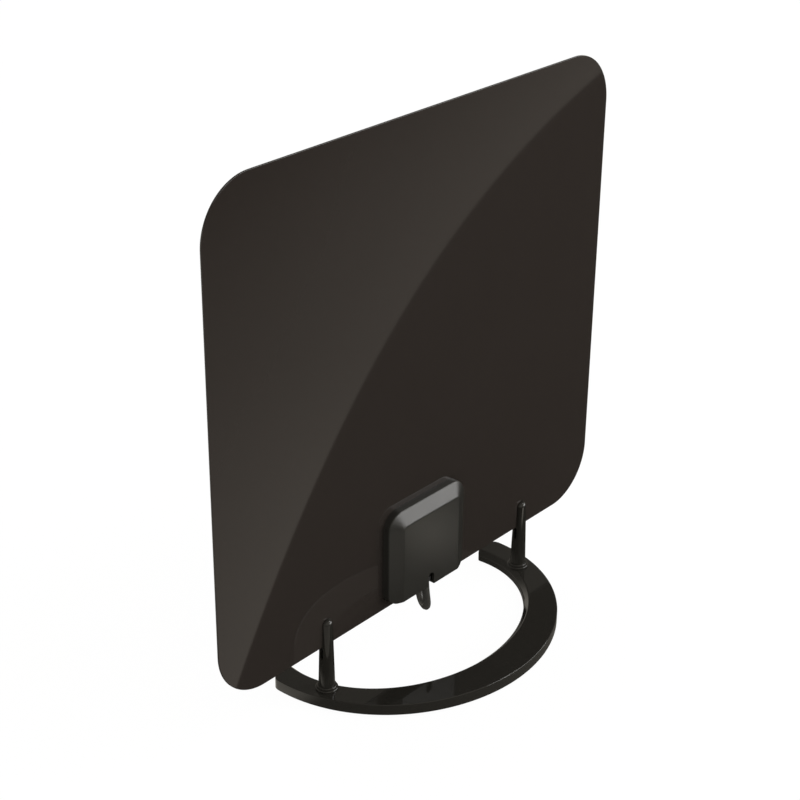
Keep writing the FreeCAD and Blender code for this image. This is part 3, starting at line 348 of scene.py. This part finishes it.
def as_object(name, shape):
    """A bmesh as an object, its doubles merged and its faces turned outwards."""
    bmesh.ops.remove_doubles(shape, verts=shape.verts, dist=MERGED)
    bmesh.ops.recalc_face_normals(shape, faces=shape.faces)
    mesh = bpy.data.meshes.new(name)
    shape.to_mesh(mesh)
    shape.free()
    return add_object(name, mesh)


def carved(piece, *cutters, operation="DIFFERENCE"):
    """The piece as a plain mesh, with the cutters taken out of it or only what they share left."""
    for cutter in cutters:
        cut = piece.modifiers.new("cut", "BOOLEAN")
        cut.operation, cut.solver, cut.object = operation, "EXACT", cutter
    bpy.context.view_layer.update()
    worked = piece.evaluated_get(bpy.context.evaluated_depsgraph_get())
    mesh = bpy.data.meshes.new_from_object(worked)
    piece.modifiers.clear()
    old, piece.data = piece.data, mesh
    mesh.name = piece.name
    bpy.data.meshes.remove(old)
    for cutter in cutters:
        bpy.data.objects.remove(cutter)
    return piece


def finished(piece, finish, body, *nodes, sharp=32.0):
    """Gives a piece its smooth shading, finish and body, in place of these solids."""
    mesh = piece.data
    mesh.materials.clear()
    mesh.materials.append(MATERIALS[finish])
    mesh.shade_smooth()
    mesh.set_sharp_from_angle(angle=math.radians(sharp))
    weighted = piece.modifiers.new("flat_faces_stay_flat", "WEIGHTED_NORMAL")
    weighted.keep_sharp, weighted.weight = True, 60
    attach(piece, body)
    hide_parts(*nodes)
    return piece


def shifted(shape, vector):
    bmesh.ops.translate(shape, vec=vector, verts=shape.verts)


def swung(shape, degrees, axis):
    """Turns a whole shape about an axis through the origin."""
    bmesh.ops.rotate(shape, cent=(0, 0, 0), matrix=Matrix.Rotation(math.radians(degrees), 3, axis),
                     verts=shape.verts)


def only(kind, geometry):
    """The corners, the edges or the faces among mixed geometry."""
    return [part for part in geometry if isinstance(part, kind)]


def soften(shape, wanted, width, segments):
    """Rounds the edges that the test picks."""
    edges = [edge for edge in shape.edges if wanted(edge)]
    bmesh.ops.bevel(shape, geom=edges, offset=width, offset_type="OFFSET", segments=segments,
                    profile=0.5, affect="EDGES", material=-1, clamp_overlap=True)


def level_with(axis, place):
    """A test for edges that lie at one level on an axis."""
    return lambda edge: all(abs(corner.co[axis] - place) < LEVEL_SLACK for corner in edge.verts)


def ring_edge(radius, height):
    """A test for the edges of a spun piece that run round it at this radius and height, in mm."""
    level = level_with(2, height * MM)
    return lambda edge: level(edge) and all(
        abs(math.hypot(corner.co.x, corner.co.y) - radius * MM) < ROUND_SLACK for corner in edge.verts)


def between(*corners):
    """A test for edges that join two of these corners."""
    known = set(corners)
    return lambda edge: known.issuperset(edge.verts)


def upright_plate(left, right, low, high, y, corner, segments, low_corner=None):
    """One flat face in the plane of the panel, its corners rounded."""
    shape = bmesh.new()
    middle = (low + high) / 2
    bmesh.ops.create_grid(shape, x_segments=1, y_segments=1, size=0.5)
    bmesh.ops.scale(shape, vec=(right - left, high - low, 1), verts=shape.verts)
    swung(shape, 90, "X")
    shifted(shape, ((left + right) / 2, y, middle))
    upper = [point for point in shape.verts if point.co.z > middle]
    lower = [point for point in shape.verts if point.co.z < middle]
    for points, radius in ((upper, corner), (lower, corner if low_corner is None else low_corner)):
        bmesh.ops.bevel(shape, geom=points, offset=radius, offset_type="OFFSET", segments=segments,
                        profile=0.5, affect="VERTICES", material=-1)
    return shape


def drawn_out(shape, vector):
    """Extrudes all the faces of a shape by a vector."""
    made = bmesh.ops.extrude_face_region(shape, geom=shape.faces[:])["geom"]
    bmesh.ops.translate(shape, vec=vector, verts=only(bmesh.types.BMVert, made))


def sliced(shape, point, normal, geometry=None, fill=True):
    """Cuts away what lies beyond a plane and closes the cut."""
    geometry = geometry or shape.verts[:] + shape.edges[:] + shape.faces[:]
    cut = bmesh.ops.bisect_plane(shape, geom=geometry, plane_co=point, plane_no=normal,
                                 clear_outer=True, dist=MERGED)
    rim = only(bmesh.types.BMEdge, cut["geom_cut"])
    if fill and rim:
        bmesh.ops.contextual_create(shape, geom=rim)


def turned(profile, steps=48):
    """A closed round piece about the Z axis, spun from points (radius, height) in millimetres."""
    shape = bmesh.new()
    points = [shape.verts.new((radius * MM, 0, height * MM)) for radius, height in profile]
    edges = [shape.edges.new(pair) for pair in zip(points, points[1:])]
    if profile[0][0] > 0 and profile[-1][0] > 0:
        edges.append(shape.edges.new((points[-1], points[0])))
    bmesh.ops.spin(shape, geom=points + edges, cent=(0, 0, 0), axis=(0, 0, 1), angle=math.tau,
                   steps=steps, use_merge=True, use_duplicate=False)
    bmesh.ops.remove_doubles(shape, verts=shape.verts, dist=MERGED)
    bmesh.ops.recalc_face_normals(shape, faces=shape.faces)
    return shape


# ---- the cable --------------------------------------------------------------------------------

CABLE_RADIUS = 0.0019
COIL_CENTRE = Vector((0.0396, PANEL_PLANE + 0.090, 0))
COIL_OUTER, COIL_INNER = 0.0312, 0.0150      # radii of the outermost and innermost turn
TURNS_PER_LAYER, TURNS_TO_CLIMB, STEPS_PER_TURN = 4.2, 1.017, 16
LAYER_LOW, LAYER_HIGH = 0.0025, 0.0063
EXIT_WAY = Vector((math.sin(EXIT_ANGLE), -math.cos(EXIT_ANGLE), 0))
COIL_EXIT = COIL_CENTRE + Vector((math.cos(EXIT_ANGLE), math.sin(EXIT_ANGLE), 0)) * COIL_OUTER
PLUG_ALONG, PLUG_HEIGHT = 0.019, 0.00555     # past the coil's exit, and above the table
PLUG_BASE = COIL_EXIT + EXIT_WAY * PLUG_ALONG + Vector((0, 0, PLUG_HEIGHT))


def loose_points():
    """Corners of the loose stretch: down from the notch, under the panel, up and over to the floor."""
    route = [
        (0.0, -3.7, 35.7),
        (0.2, -3.75, 31.5),
        (1.8, -4.3, 18.9),
        (5.4, 4.2, 18.9),
        (5.2, 6.8, 36.2),
        (5.6, 14.5, 52.7),
        (6.5, 31.5, 60.0),
        (7.2, 45.5, 49.5),
        (7.6, 49.0, 32.0),
        (8.0, 56.0, 15.5),
        (8.3, 69.0, 4.0),
        (8.4, 82.0, 2.5),
    ]
    return [Vector((x * MM, PANEL_PLANE + y * MM, z * MM)) for x, y, z in route]


def coil_points():
    """The put-away turns: inwards on the floor, up a layer, and outwards again on top."""
    points = []
    for step in range(int((TURNS_PER_LAYER * 2 + TURNS_TO_CLIMB) * STEPS_PER_TURN) + 1):
        turn = step / STEPS_PER_TURN
        inwards = min(turn / TURNS_PER_LAYER, 1.0)
        outwards = max((turn - TURNS_PER_LAYER - TURNS_TO_CLIMB) / TURNS_PER_LAYER, 0.0)
        rise = min(max((turn - TURNS_PER_LAYER) / TURNS_TO_CLIMB, 0.0), 1.0)
        radius = COIL_OUTER - (COIL_OUTER - COIL_INNER) * (inwards - outwards)
        angle = math.pi - math.tau * turn
        height = LAYER_LOW + (LAYER_HIGH - LAYER_LOW) * rise
        spoke = Vector((math.cos(angle) * radius, math.sin(angle) * radius, height))
        points.append(COIL_CENTRE + spoke)
    return points


def tail_points():
    """The last stretch, straight from the coil into the plug."""
    level = PLUG_HEIGHT / MM
    return [COIL_EXIT + EXIT_WAY * (along * MM) + Vector((0, 0, height * MM))
            for along, height in ((4.0, 6.2), (9.0, level), (16.0, level), (27.3, level))]


def make_cable():
    """One smooth line from the notch to the plug, as a tube."""
    points = loose_points() + coil_points() + tail_points()
    line = bpy.data.curves.new("cable_line", "CURVE")
    line.dimensions = "3D"
    line.resolution_u = 6
    spline = line.splines.new("NURBS")
    spline.points.add(len(points) - 1)
    for control, point in zip(spline.points, points):
        control.co = (*point, 1)
    spline.order_u = 3
    spline.use_endpoint_u = True
    holder = add_object("cable_line", line)
    path = [tuple(corner.co) for corner in bpy.data.meshes.new_from_object(holder).vertices]
    line.bevel_depth = CABLE_RADIUS
    line.bevel_resolution = 4
    line.use_fill_caps = True
    tube = bpy.data.meshes.new_from_object(holder)
    bpy.data.objects.remove(holder)
    cable = add_object("cable", tube)
    tube.materials.clear()
    tube.materials.append(MATERIALS["cable_jacket"])
    tube.shade_smooth()
    length = sum((Vector(b) - Vector(a)).length for a, b in zip(path, path[1:]))
    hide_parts("loose_cable", "cable_coil", "cable_tail")
    return cable, path, length


cable, cable_path, cable_length = make_cable()


def make_tie():
    """The flat band round the coil's turns on one side, with its lock on the outside."""
    play, turns_wide, thick, width = 0.00015, 0.0203, 0.0006, 0.005
    outer, inner = COIL_OUTER + CABLE_RADIUS + play, COIL_OUTER + CABLE_RADIUS - turns_wide
    low, high = LAYER_LOW - CABLE_RADIUS, LAYER_HIGH + CABLE_RADIUS + play
    shape = upright_plate(inner - 0.0007 - thick, outer + thick, low - thick, high + thick, -width / 2,
                          0.0014, 5)
    rim = bmesh.ops.inset_region(shape, faces=shape.faces[:], thickness=thick, use_even_offset=True,
                                 use_boundary=True)["faces"]
    bmesh.ops.delete(shape, geom=[face for face in shape.faces if face not in rim], context="FACES")
    drawn_out(shape, (0, width, 0))
    front, rear = level_with(1, -width / 2), level_with(1, width / 2)
    soften(shape, lambda edge: front(edge) or rear(edge), 0.00015, 2)
    lock = bmesh.ops.create_cube(shape, size=1)["verts"]
    lock_wide = 0.0031
    bmesh.ops.scale(shape, vec=(lock_wide, width + 0.001, high - low - 0.002), verts=lock)
    bmesh.ops.translate(shape, vec=(outer + 0.0003 + lock_wide / 2, 0, (high + low) / 2), verts=lock)
    soften(shape, between(*lock), 0.0005, 3)
    swung(shape, -60, "Z")
    shifted(shape, COIL_CENTRE)
    return finished(as_object("cable_tie", shape), "tie_plastic", "stand", "coil_tie")


# ---- the plug ---------------------------------------------------------------------------------

def laid_on_plug(shape):
    """Lays a piece made about the Z axis down on the plug's line."""
    upwards = Vector((0, 0, 1))
    turn = Matrix((upwards.cross(EXIT_WAY), upwards, EXIT_WAY)).transposed()
    bmesh.ops.rotate(shape, cent=(0, 0, 0), matrix=turn, verts=shape.verts)
    shifted(shape, PLUG_BASE)
    return shape


def make_plug_sleeve():
    """The crimped sleeve: a bead at each end and a waist pressed onto the cable between them."""
    shape = turned([(1.95, 0), (3.0, 0), (3.4, 0.4), (3.4, 1.4), (3.0, 2.0), (3.0, 6.5), (3.4, 7.1),
                    (3.4, 8.5), (1.95, 8.5)])
    sixth = math.pi / 3                      # the jaws press six flats
    for corner in shape.verts:
        if 1.9 * MM < corner.co.z < 6.6 * MM and math.hypot(corner.co.x, corner.co.y) > 2.5 * MM:
            angle = math.atan2(corner.co.y, corner.co.x)
            flat = math.cos(sixth / 2) / math.cos((angle % sixth) - sixth / 2)
            corner.co.x *= flat
            corner.co.y *= flat
    return finished(as_object("plug_sleeve_crimped", laid_on_plug(shape)), "plug_nickel", "stand",
                    "plug_sleeve", sharp=25)


def make_plug_body():
    """The body behind the nut, with the flange that the nut turns against."""
    shape = turned([(1.6, 8.5), (3.3, 8.5), (3.3, 10.8), (4.3, 10.8), (4.3, 12.0), (1.6, 12.0)])
    soften(shape, ring_edge(4.3, 12.0), 0.0002, 2)
    return finished(as_object("plug_body_turned", laid_on_plug(shape)), "plug_nickel", "stand",
                    "plug_body")


def make_plug_pin():
    """The cable's centre wire, cut to a blunt point beyond the nut."""
    shape = turned([(0, 8.5), (0.4, 8.5), (0.4, 20.0), (0.22, 20.3), (0, 20.3)], 20)
    return finished(as_object("plug_centre_wire", laid_on_plug(shape)), "copper", "stand", "plug_pin")


def make_plug_nut():
    """The coupling nut: a hexagon with chamfered corners, a lip behind and a threaded bore."""
    start, length, across_flats = 8.7, 10.0, 11.1
    end = start + length
    corner_radius = across_flats / math.sqrt(3) * MM
    shape = bmesh.new()
    bmesh.ops.create_cone(shape, cap_ends=True, segments=6, radius1=corner_radius,
                          radius2=corner_radius, depth=length * MM)
    swung(shape, 30, "Z")
    shifted(shape, (0, 0, (start + length / 2) * MM))
    chamfer = turned([(0, start), (5.5, start), (6.5, start + 0.6), (6.5, end - 0.6), (5.5, end),
                      (0, end)], 72)
    bore = [(0, start - 1), (3.35, start - 1), (3.35, start + 2.0), (4.5, start + 2.0)]
    height = start + 2.6
    while height < end - 0.8:
        bore += [(4.5, height), (4.22, height + 0.28), (4.22, height + 0.36), (4.5, height + 0.64)]
        height += 0.79
    bore += [(4.5, end - 0.4), (4.9, end), (4.9, end + 1), (0, end + 1)]
    nut = as_object("plug_nut_hexagon", laid_on_plug(shape))
    carved(nut, as_object("nut_chamfer", laid_on_plug(chamfer)), operation="INTERSECT")
    carved(nut, as_object("nut_bore", laid_on_plug(turned(bore, 40))))
    return finished(nut, "plug_nickel", "nut", "plug_nut", sharp=25)


plug_pieces = [make_tie(), make_plug_sleeve(), make_plug_body(), make_plug_pin(), make_plug_nut(),
               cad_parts["plug_dielectric"]]
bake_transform(cable)


# ---- the panel --------------------------------------------------------------------------------

PANEL_CORNER = 0.028


def make_sheet(name, near, far, finish, node, rounded_side):
    """One sheet of the laminated panel, its outer rim eased."""
    shape = upright_plate(sheet_low.x, sheet_high.x, sheet_low.z, sheet_high.z, near, PANEL_CORNER, 32)
    drawn_out(shape, (0, far - near, 0))
    soften(shape, level_with(1, rounded_side), 0.0002, 2)
    return finished(as_object(name, shape), finish, "antenna", node)


rear_low, rear_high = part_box("rear_sheet")
make_sheet("panel_front_film", sheet_low.y, sheet_high.y, "panel_gloss", "front_sheet", sheet_low.y)
make_sheet("panel_rear_film", rear_low.y, rear_high.y, "panel_rear", "rear_sheet", rear_high.y)


# ---- the junction box -------------------------------------------------------------------------

BOX_BEVEL_RUN, BOX_BEVEL_RISE = 0.0075, 0.0033     # along the face, and forwards
BOX_WALL = 0.0016
BOX_CORNER, BOX_FACE_CORNER, BOX_LOW_CORNER = 0.0095, 0.0024, 0.005


def bevelled_form(inset):
    """The box's outer form, or its hollow where inset is the wall: bevelled all round, flat below."""
    low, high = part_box("box_cover")
    run, surplus = BOX_BEVEL_RUN, 0.017      # the surplus below is what the flat cut takes off
    left, right, top, bottom = low.x + inset, high.x - inset, high.z - inset, low.z + inset
    rear, face = high.y, low.y + inset
    shoulder = face + BOX_BEVEL_RISE
    shape = upright_plate(left, right, bottom - surplus, top, shoulder, BOX_CORNER - inset, 14)
    drawn_out(shape, (0, rear - shoulder, 0))
    front = upright_plate(left + run, right - run, bottom - surplus + run, top - run, face,
                          BOX_FACE_CORNER, 14)
    moved = bpy.data.meshes.new("box_face")
    front.to_mesh(moved)
    front.free()
    shape.from_mesh(moved)
    bpy.data.meshes.remove(moved)
    at_shoulder, at_face = level_with(1, shoulder), level_with(1, face)
    lid = [flat for flat in shape.faces if all(at_shoulder(edge) for edge in flat.edges)]
    bmesh.ops.delete(shape, geom=lid, context="FACES_ONLY")
    rims = [edge for edge in shape.edges if at_shoulder(edge) or at_face(edge)]
    bmesh.ops.bridge_loops(shape, edges=rims)
    bmesh.ops.recalc_face_normals(shape, faces=shape.faces)
    if inset == 0:
        soften(shape, at_shoulder, 0.0006, 3)
        soften(shape, at_face, 0.0006, 3)
    sliced(shape, (0, 0, bottom), (0, 0, -1))
    low_corner = BOX_LOW_CORNER - inset
    for side in (-1, 1):
        centre_x = (left if side < 0 else right) - side * low_corner
        for angle in map(math.radians, (12, 27, 45, 63, 78)):
            outwards = Vector((side * math.sin(angle), 0, -math.cos(angle)))
            point = Vector((centre_x, rear, bottom + low_corner)) + outwards * low_corner
            sliced(shape, point, outwards)
    return shape


def make_box_cover():
    """The moulded cover: a hollow bevelled shell with an arched notch for the cable."""
    cover = as_object("box_cover_moulded", bevelled_form(0))
    hollow = bevelled_form(BOX_WALL)
    shifted(hollow, (0, 0.00001, 0))         # so that the hollow opens at the back
    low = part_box("box_cover")[0]
    notch_half, notch_top = 0.00225, 0.0072
    arch = upright_plate(-notch_half, notch_half, low.z - 0.003, low.z + notch_top, low.y - 0.002,
                         0.0022, 10, 0.0001)
    drawn_out(arch, (0, 0.0055 - 0.0002, 0))
    carved(cover, as_object("box_hollow", hollow), as_object("box_notch", arch))
    return finished(cover, "box_satin", "antenna", "box_cover", sharp=28)


make_box_cover()


# ---- the stand --------------------------------------------------------------------------------

# Half the width, half the depth, and how far the centre lies behind the panel.
RING_HALF_WIDTH, RING_HALF_DEPTH, RING_BEHIND = 0.0875, 0.0803, 0.0201
HOLE_HALF_WIDTH, HOLE_HALF_DEPTH, HOLE_BEHIND = 0.0728, 0.0577, 0.0178
TIP_RADIUS = 0.003


def add_ellipse(shape, half_width, half_depth, behind, height):
    """A level loop about the stand's middle, its centre this far behind the panel."""
    loop = bmesh.ops.create_circle(shape, segments=180, radius=1.0)["verts"]
    bmesh.ops.scale(shape, vec=(half_width, half_depth, 1), verts=loop)
    bmesh.ops.translate(shape, vec=(RING_MIDDLE, PANEL_PLANE + behind, height), verts=loop)
    return loop


def hole_easing():
    """The cutter that bevels the upper edge of the ring's hole, rounded into the top and the wall."""
    cutter = bmesh.new()
    rims = [add_ellipse(cutter, HOLE_HALF_WIDTH + wider * MM, HOLE_HALF_DEPTH + wider * MM, HOLE_BEHIND,
                        RING_TOP - deeper * MM)
            for wider, deeper in ((0, 3.0), (0.12, 2.6), (0.4, 2.2), (2.2, 0.4), (2.6, 0.12), (3.0, 0))]
    for lower, upper in zip(rims, rims[1:]):
        joins = between(*lower, *upper)
        bmesh.ops.bridge_loops(cutter, edges=[edge for edge in cutter.edges
                                              if len(edge.link_faces) < 2 and joins(edge)])
    top = between(*rims[-1])
    lid = bmesh.ops.extrude_edge_only(cutter, edges=[edge for edge in cutter.edges if top(edge)])
    bmesh.ops.translate(cutter, vec=(0, 0, 0.001), verts=only(bmesh.types.BMVert, lid["geom"]))
    bmesh.ops.holes_fill(cutter, edges=cutter.edges[:])
    return as_object("hole_easing", cutter)


def aside(corner, side):
    """How far a corner lies on one side of the stand's middle."""
    return (corner.co.x - RING_MIDDLE) * side


def round_tip_corner(shape, side, reach, way):
    """Rounds one corner of the foot's tip on this side, at this reach from the middle."""
    centre_x = RING_MIDDLE + reach * side - way * TIP_RADIUS
    centre = Vector((centre_x, ring_high.y - TIP_RADIUS, ring_low.z))
    for angle in map(math.radians, (12, 30, 48, 66, 82)):
        outwards = Vector((way * math.cos(angle), math.sin(angle), 0))
        arm = [corner for corner in shape.verts
               if aside(corner, side) > 0 and corner.co.y > PANEL_PLANE]
        corners = set(arm)
        touching = [part for part in shape.edges[:] + shape.faces[:] if corners & set(part.verts)]
        sliced(shape, centre + outwards * TIP_RADIUS, outwards, arm + touching, fill=False)


def make_ring():
    """The C-shaped foot: an elliptic band cut off behind, with rounded tips and eased edges."""
    shape = bmesh.new()
    add_ellipse(shape, RING_HALF_WIDTH, RING_HALF_DEPTH, RING_BEHIND, ring_low.z)
    add_ellipse(shape, HOLE_HALF_WIDTH, HOLE_HALF_DEPTH, HOLE_BEHIND, ring_low.z)
    bmesh.ops.bridge_loops(shape, edges=shape.edges[:])
    tips = ring_high.y
    sliced(shape, (0, tips, 0), (0, 1, 0), fill=False)
    for side in (-1, 1):
        reaches = sorted(aside(corner, side) for corner in shape.verts
                         if abs(corner.co.y - tips) < LEVEL_SLACK and aside(corner, side) > 0)
        round_tip_corner(shape, side, reaches[-1], side)
        round_tip_corner(shape, side, reaches[0], -side)
    bmesh.ops.dissolve_faces(shape, faces=shape.faces[:])
    drawn_out(shape, (0, 0, RING_TOP - ring_low.z))
    bmesh.ops.recalc_face_normals(shape, faces=shape.faces)
    soften(shape, level_with(2, RING_TOP), 0.0010, 4)
    soften(shape, level_with(2, ring_low.z), 0.0004, 2)
    ring = carved(as_object("foot_ring", shape), hole_easing())
    return finished(ring, "stand_gloss", "stand", "base_ring", sharp=40)


def make_post(node):
    """A tapered post with a stepped collar, a domed tip and the slot that grips the panel."""
    low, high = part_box(node)
    shape = turned([(0, -3.4), (2.6, -3.4), (2.6, 0), (5.6, 0), (5.6, 1.2), (4.9, 1.2), (4.9, 2.4),
                    (4.1, 2.4), (3.1, 39.95), (0, 39.95)], 72)
    soften(shape, ring_edge(3.1, 39.95), 0.0027, 8)
    soften(shape, ring_edge(5.6, 1.2), 0.0005, 4)
    soften(shape, ring_edge(4.9, 2.4), 0.0005, 4)
    cutter = bmesh.new()
    side = [(0.9, 18.2), (0.9, 23.7), (0.565, 24.45), (0.896, 41.0)]
    outline = side + [(-across, height) for across, height in reversed(side)]
    cutter.faces.new([cutter.verts.new((-8 * MM, across * MM, height * MM))
                      for across, height in outline])
    drawn_out(cutter, (16 * MM, 0, 0))
    for part in (shape, cutter):
        shifted(part, ((low.x + high.x) / 2, PANEL_PLANE, RING_TOP))
    post = carved(as_object(node + "_turned", shape), as_object("slot", cutter))
    return finished(post, "stand_gloss", "stand", node, sharp=30)


make_ring()
make_post("left_post")
make_post("right_post")


# ---- studio -----------------------------------------------------------------------------------

WARM = (1.06, 0.99, 0.87)
FLOOR_DEPTH = 0.0002                         # the floor lies this far under the feet
CAMERA_RIGHT = (0.653, -0.757, 0)            # the camera's right, on the floor
ARC_RIGHT, ARC_BEHIND, ARC_RADIUS = 2.109, 3.197, 3.915     # the painted card reflection's edge, from the panel
HEIGHT_PER_REACH = 0.935                     # how high on the box's face floor at a reach is mirrored
DRIFT_PER_HEIGHT = 1.279                     # how far right that floor lies, per height
FLOOR_GLOW, GLOW_SHARE = 1.02, 0.95          # the camera sees the floor as nearly all plain light


def light_of(tree, strength, tone=(1, 1, 1), kind="ShaderNodeEmission"):
    """Plain light in one tone; its strength may come from a socket."""
    light = tree.nodes.new(kind)
    light.inputs["Color"].default_value = (*tone, 1)
    feed(tree, strength, light.inputs["Strength"])
    return light.outputs[0]


def mixed(tree, share, first, second):
    mix = tree.nodes.new("ShaderNodeMixShader")
    feed(tree, share, mix.inputs[0])
    tree.links.new(first, mix.inputs[1])
    tree.links.new(second, mix.inputs[2])
    return mix.outputs[0]


def measured(tree, operation, point, other):
    """A distance from, or a dot product with, a fixed vector."""
    measure = tree.nodes.new("ShaderNodeVectorMath")
    measure.operation = operation
    tree.links.new(point, measure.inputs[0])
    measure.inputs[1].default_value = other
    return measure.outputs["Value"]


def painted_card_reflection(tree, point):
    """A painted reflection: a card painted as glow on the floor beyond a wide arc, seen only in gloss,
    brightest along its edge and near the panel.
    """
    centre = (PANEL_CENTRE.x + ARC_RIGHT, PANEL_PLANE + ARC_BEHIND, -FLOOR_DEPTH)
    beyond = calculated(tree, "SUBTRACT", measured(tree, "DISTANCE", point, centre), ARC_RADIUS)
    near_panel = measured(tree, "DISTANCE", point, (PANEL_CENTRE.x, PANEL_PLANE, 0))
    return calculated(tree, "MULTIPLY", ranged(tree, beyond, 0.0, 0.21, 0.275, 0.0, soft=False),
                      ranged(tree, near_panel, 0.0, 0.35, 1.7, 1.0, soft=False),
                      ranged(tree, beyond, -0.0008, 0.0008, 0, 1))


def painted_foot_reflection(tree, point, ray_length):
    """A painted reflection: glow painted on the floor close to the foot, that only the foot's own walls
    mirror, brightest by the end of the foot at the left.
    """
    centre = (RING_MIDDLE, PANEL_PLANE + RING_BEHIND, 0)
    left_end = centre[0] * CAMERA_RIGHT[0] + centre[1] * CAMERA_RIGHT[1] - 0.057
    across = measured(tree, "DOT_PRODUCT", point, CAMERA_RIGHT)
    return calculated(tree, "MULTIPLY",
                      ranged(tree, measured(tree, "DISTANCE", point, centre), 0.088, 0.115, 1, 0),
                      ranged(tree, ray_length, 0.02, 0.04, 1, 0),
                      ranged(tree, across, left_end, left_end + 0.018, 0.8, 0.12))


def painted_box_reflection(tree, point):
    """A painted reflection: a small card painted as glow on the floor, that the box's satin face
    mirrors as painted light brighter towards its top.
    """
    x, y, _ = axes_of(tree, point)
    reach = calculated(tree, "SUBTRACT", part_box("box_cover")[0].y, y)
    height = calculated(tree, "MULTIPLY", reach, HEIGHT_PER_REACH)
    drift = calculated(tree, "MULTIPLY", height, DRIFT_PER_HEIGHT)
    off_line = calculated(tree, "ABSOLUTE", calculated(tree, "SUBTRACT", x, drift))
    return calculated(tree, "MULTIPLY", ranged(tree, height, 0.044, 0.082, 0, 2.0),
                      ranged(tree, height, 0.079, 0.085, 1, 0),
                      ranged(tree, off_line, 0.010, 0.026, 1, 0))


def make_floor():
    """A pale floor. In gloss it shows painted reflections: black round the object, a painted glow close
    to the foot, a small painted card before the box, a painted lit card beyond the black and painted
    lit floor behind the object."""
    shape = bmesh.new()
    bmesh.ops.create_grid(shape, x_segments=1, y_segments=1, size=6)
    shifted(shape, (0, 0, -FLOOR_DEPTH))
    floor = as_object("floor", shape)
    material = bpy.data.materials.new("floor_paper")
    material.use_nodes = True
    tree = material.node_tree
    tree.nodes.clear()
    point = object_point(tree)
    path = tree.nodes.new("ShaderNodeLightPath").outputs
    paper = tree.nodes.new("ShaderNodeBsdfDiffuse")
    paper.inputs["Color"].default_value = (0.90, 0.90, 0.90, 1)
    # painted lit floor behind the object, seen only in gloss
    behind = ranged(tree, axes_of(tree, point)["Y"], PANEL_PLANE + 0.03, PANEL_PLANE + 0.11, 0, 0.6)
    glow = painted_foot_reflection(tree, point, path["Ray Length"])
    # all the painted reflections: glow the floor shows only in gloss, black where none is painted
    gloss = calculated(tree, "MAXIMUM", painted_card_reflection(tree, point), glow, painted_box_reflection(tree, point), behind)
    seen = mixed(tree, GLOW_SHARE, paper.outputs[0], light_of(tree, FLOOR_GLOW))
    mirrored = mixed(tree, path["Is Glossy Ray"], paper.outputs[0], light_of(tree, gloss, WARM))
    out = tree.nodes.new("ShaderNodeOutputMaterial")
    tree.links.new(mixed(tree, path["Is Camera Ray"], mirrored, seen), out.inputs["Surface"])
    floor.data.materials.append(material)


def make_world():
    """White behind the object, even light on it, and in its gloss a dim warm room with a bright
    horizon, brighter on the front side."""
    world = bpy.data.worlds.new("studio")
    bpy.context.scene.world = world
    world.use_nodes = True
    tree = world.node_tree
    tree.nodes.clear()
    path = tree.nodes.new("ShaderNodeLightPath").outputs
    heading = axes_of(tree, tree.nodes.new("ShaderNodeTexCoord").outputs["Generated"])

    def sky(strength, tone=(1, 1, 1)):
        return light_of(tree, strength, tone, "ShaderNodeBackground")

    front = calculated(tree, "MULTIPLY", ranged(tree, heading["Y"], -0.6, -0.3, 0.55, 0),
                       ranged(tree, heading["Z"], 0.0, 0.12, 0, 1))
    room = calculated(tree, "MAXIMUM", ranged(tree, heading["Z"], 0.05, 0.35, 0.7, 0.16), front)
    unseen = mixed(tree, path["Is Glossy Ray"], sky(0.72, (1, 0.98, 0.95)), sky(room, WARM))
    out = tree.nodes.new("ShaderNodeOutputWorld")
    tree.links.new(mixed(tree, path["Is Camera Ray"], unseen, sky(1.0)), out.inputs["Surface"])


def add_softbox(name, direction, distance, width, height, power):
    """A lamp of this width and height that faces the panel's centre and isn't seen itself."""
    data = bpy.data.lights.new(name, "AREA")
    data.shape, data.size, data.size_y, data.energy = "RECTANGLE", width, height, power
    lamp = bpy.data.objects.new(name, data)
    bpy.context.collection.objects.link(lamp)
    way = Vector(direction).normalized()
    lamp.location = PANEL_CENTRE + way * distance
    lamp.rotation_euler = way.to_track_quat("Z", "Y").to_euler()
    lamp.visible_camera = False


make_floor()
make_world()
add_softbox("key", (0.68, -0.73, 0.13), distance=1.9, width=1.9, height=0.78, power=21.0)
add_softbox("upper", (0.59, -0.51, 0.64), distance=1.6, width=0.35, height=0.3, power=3.0)
bpy.context.scene.view_settings.view_transform = "Standard"
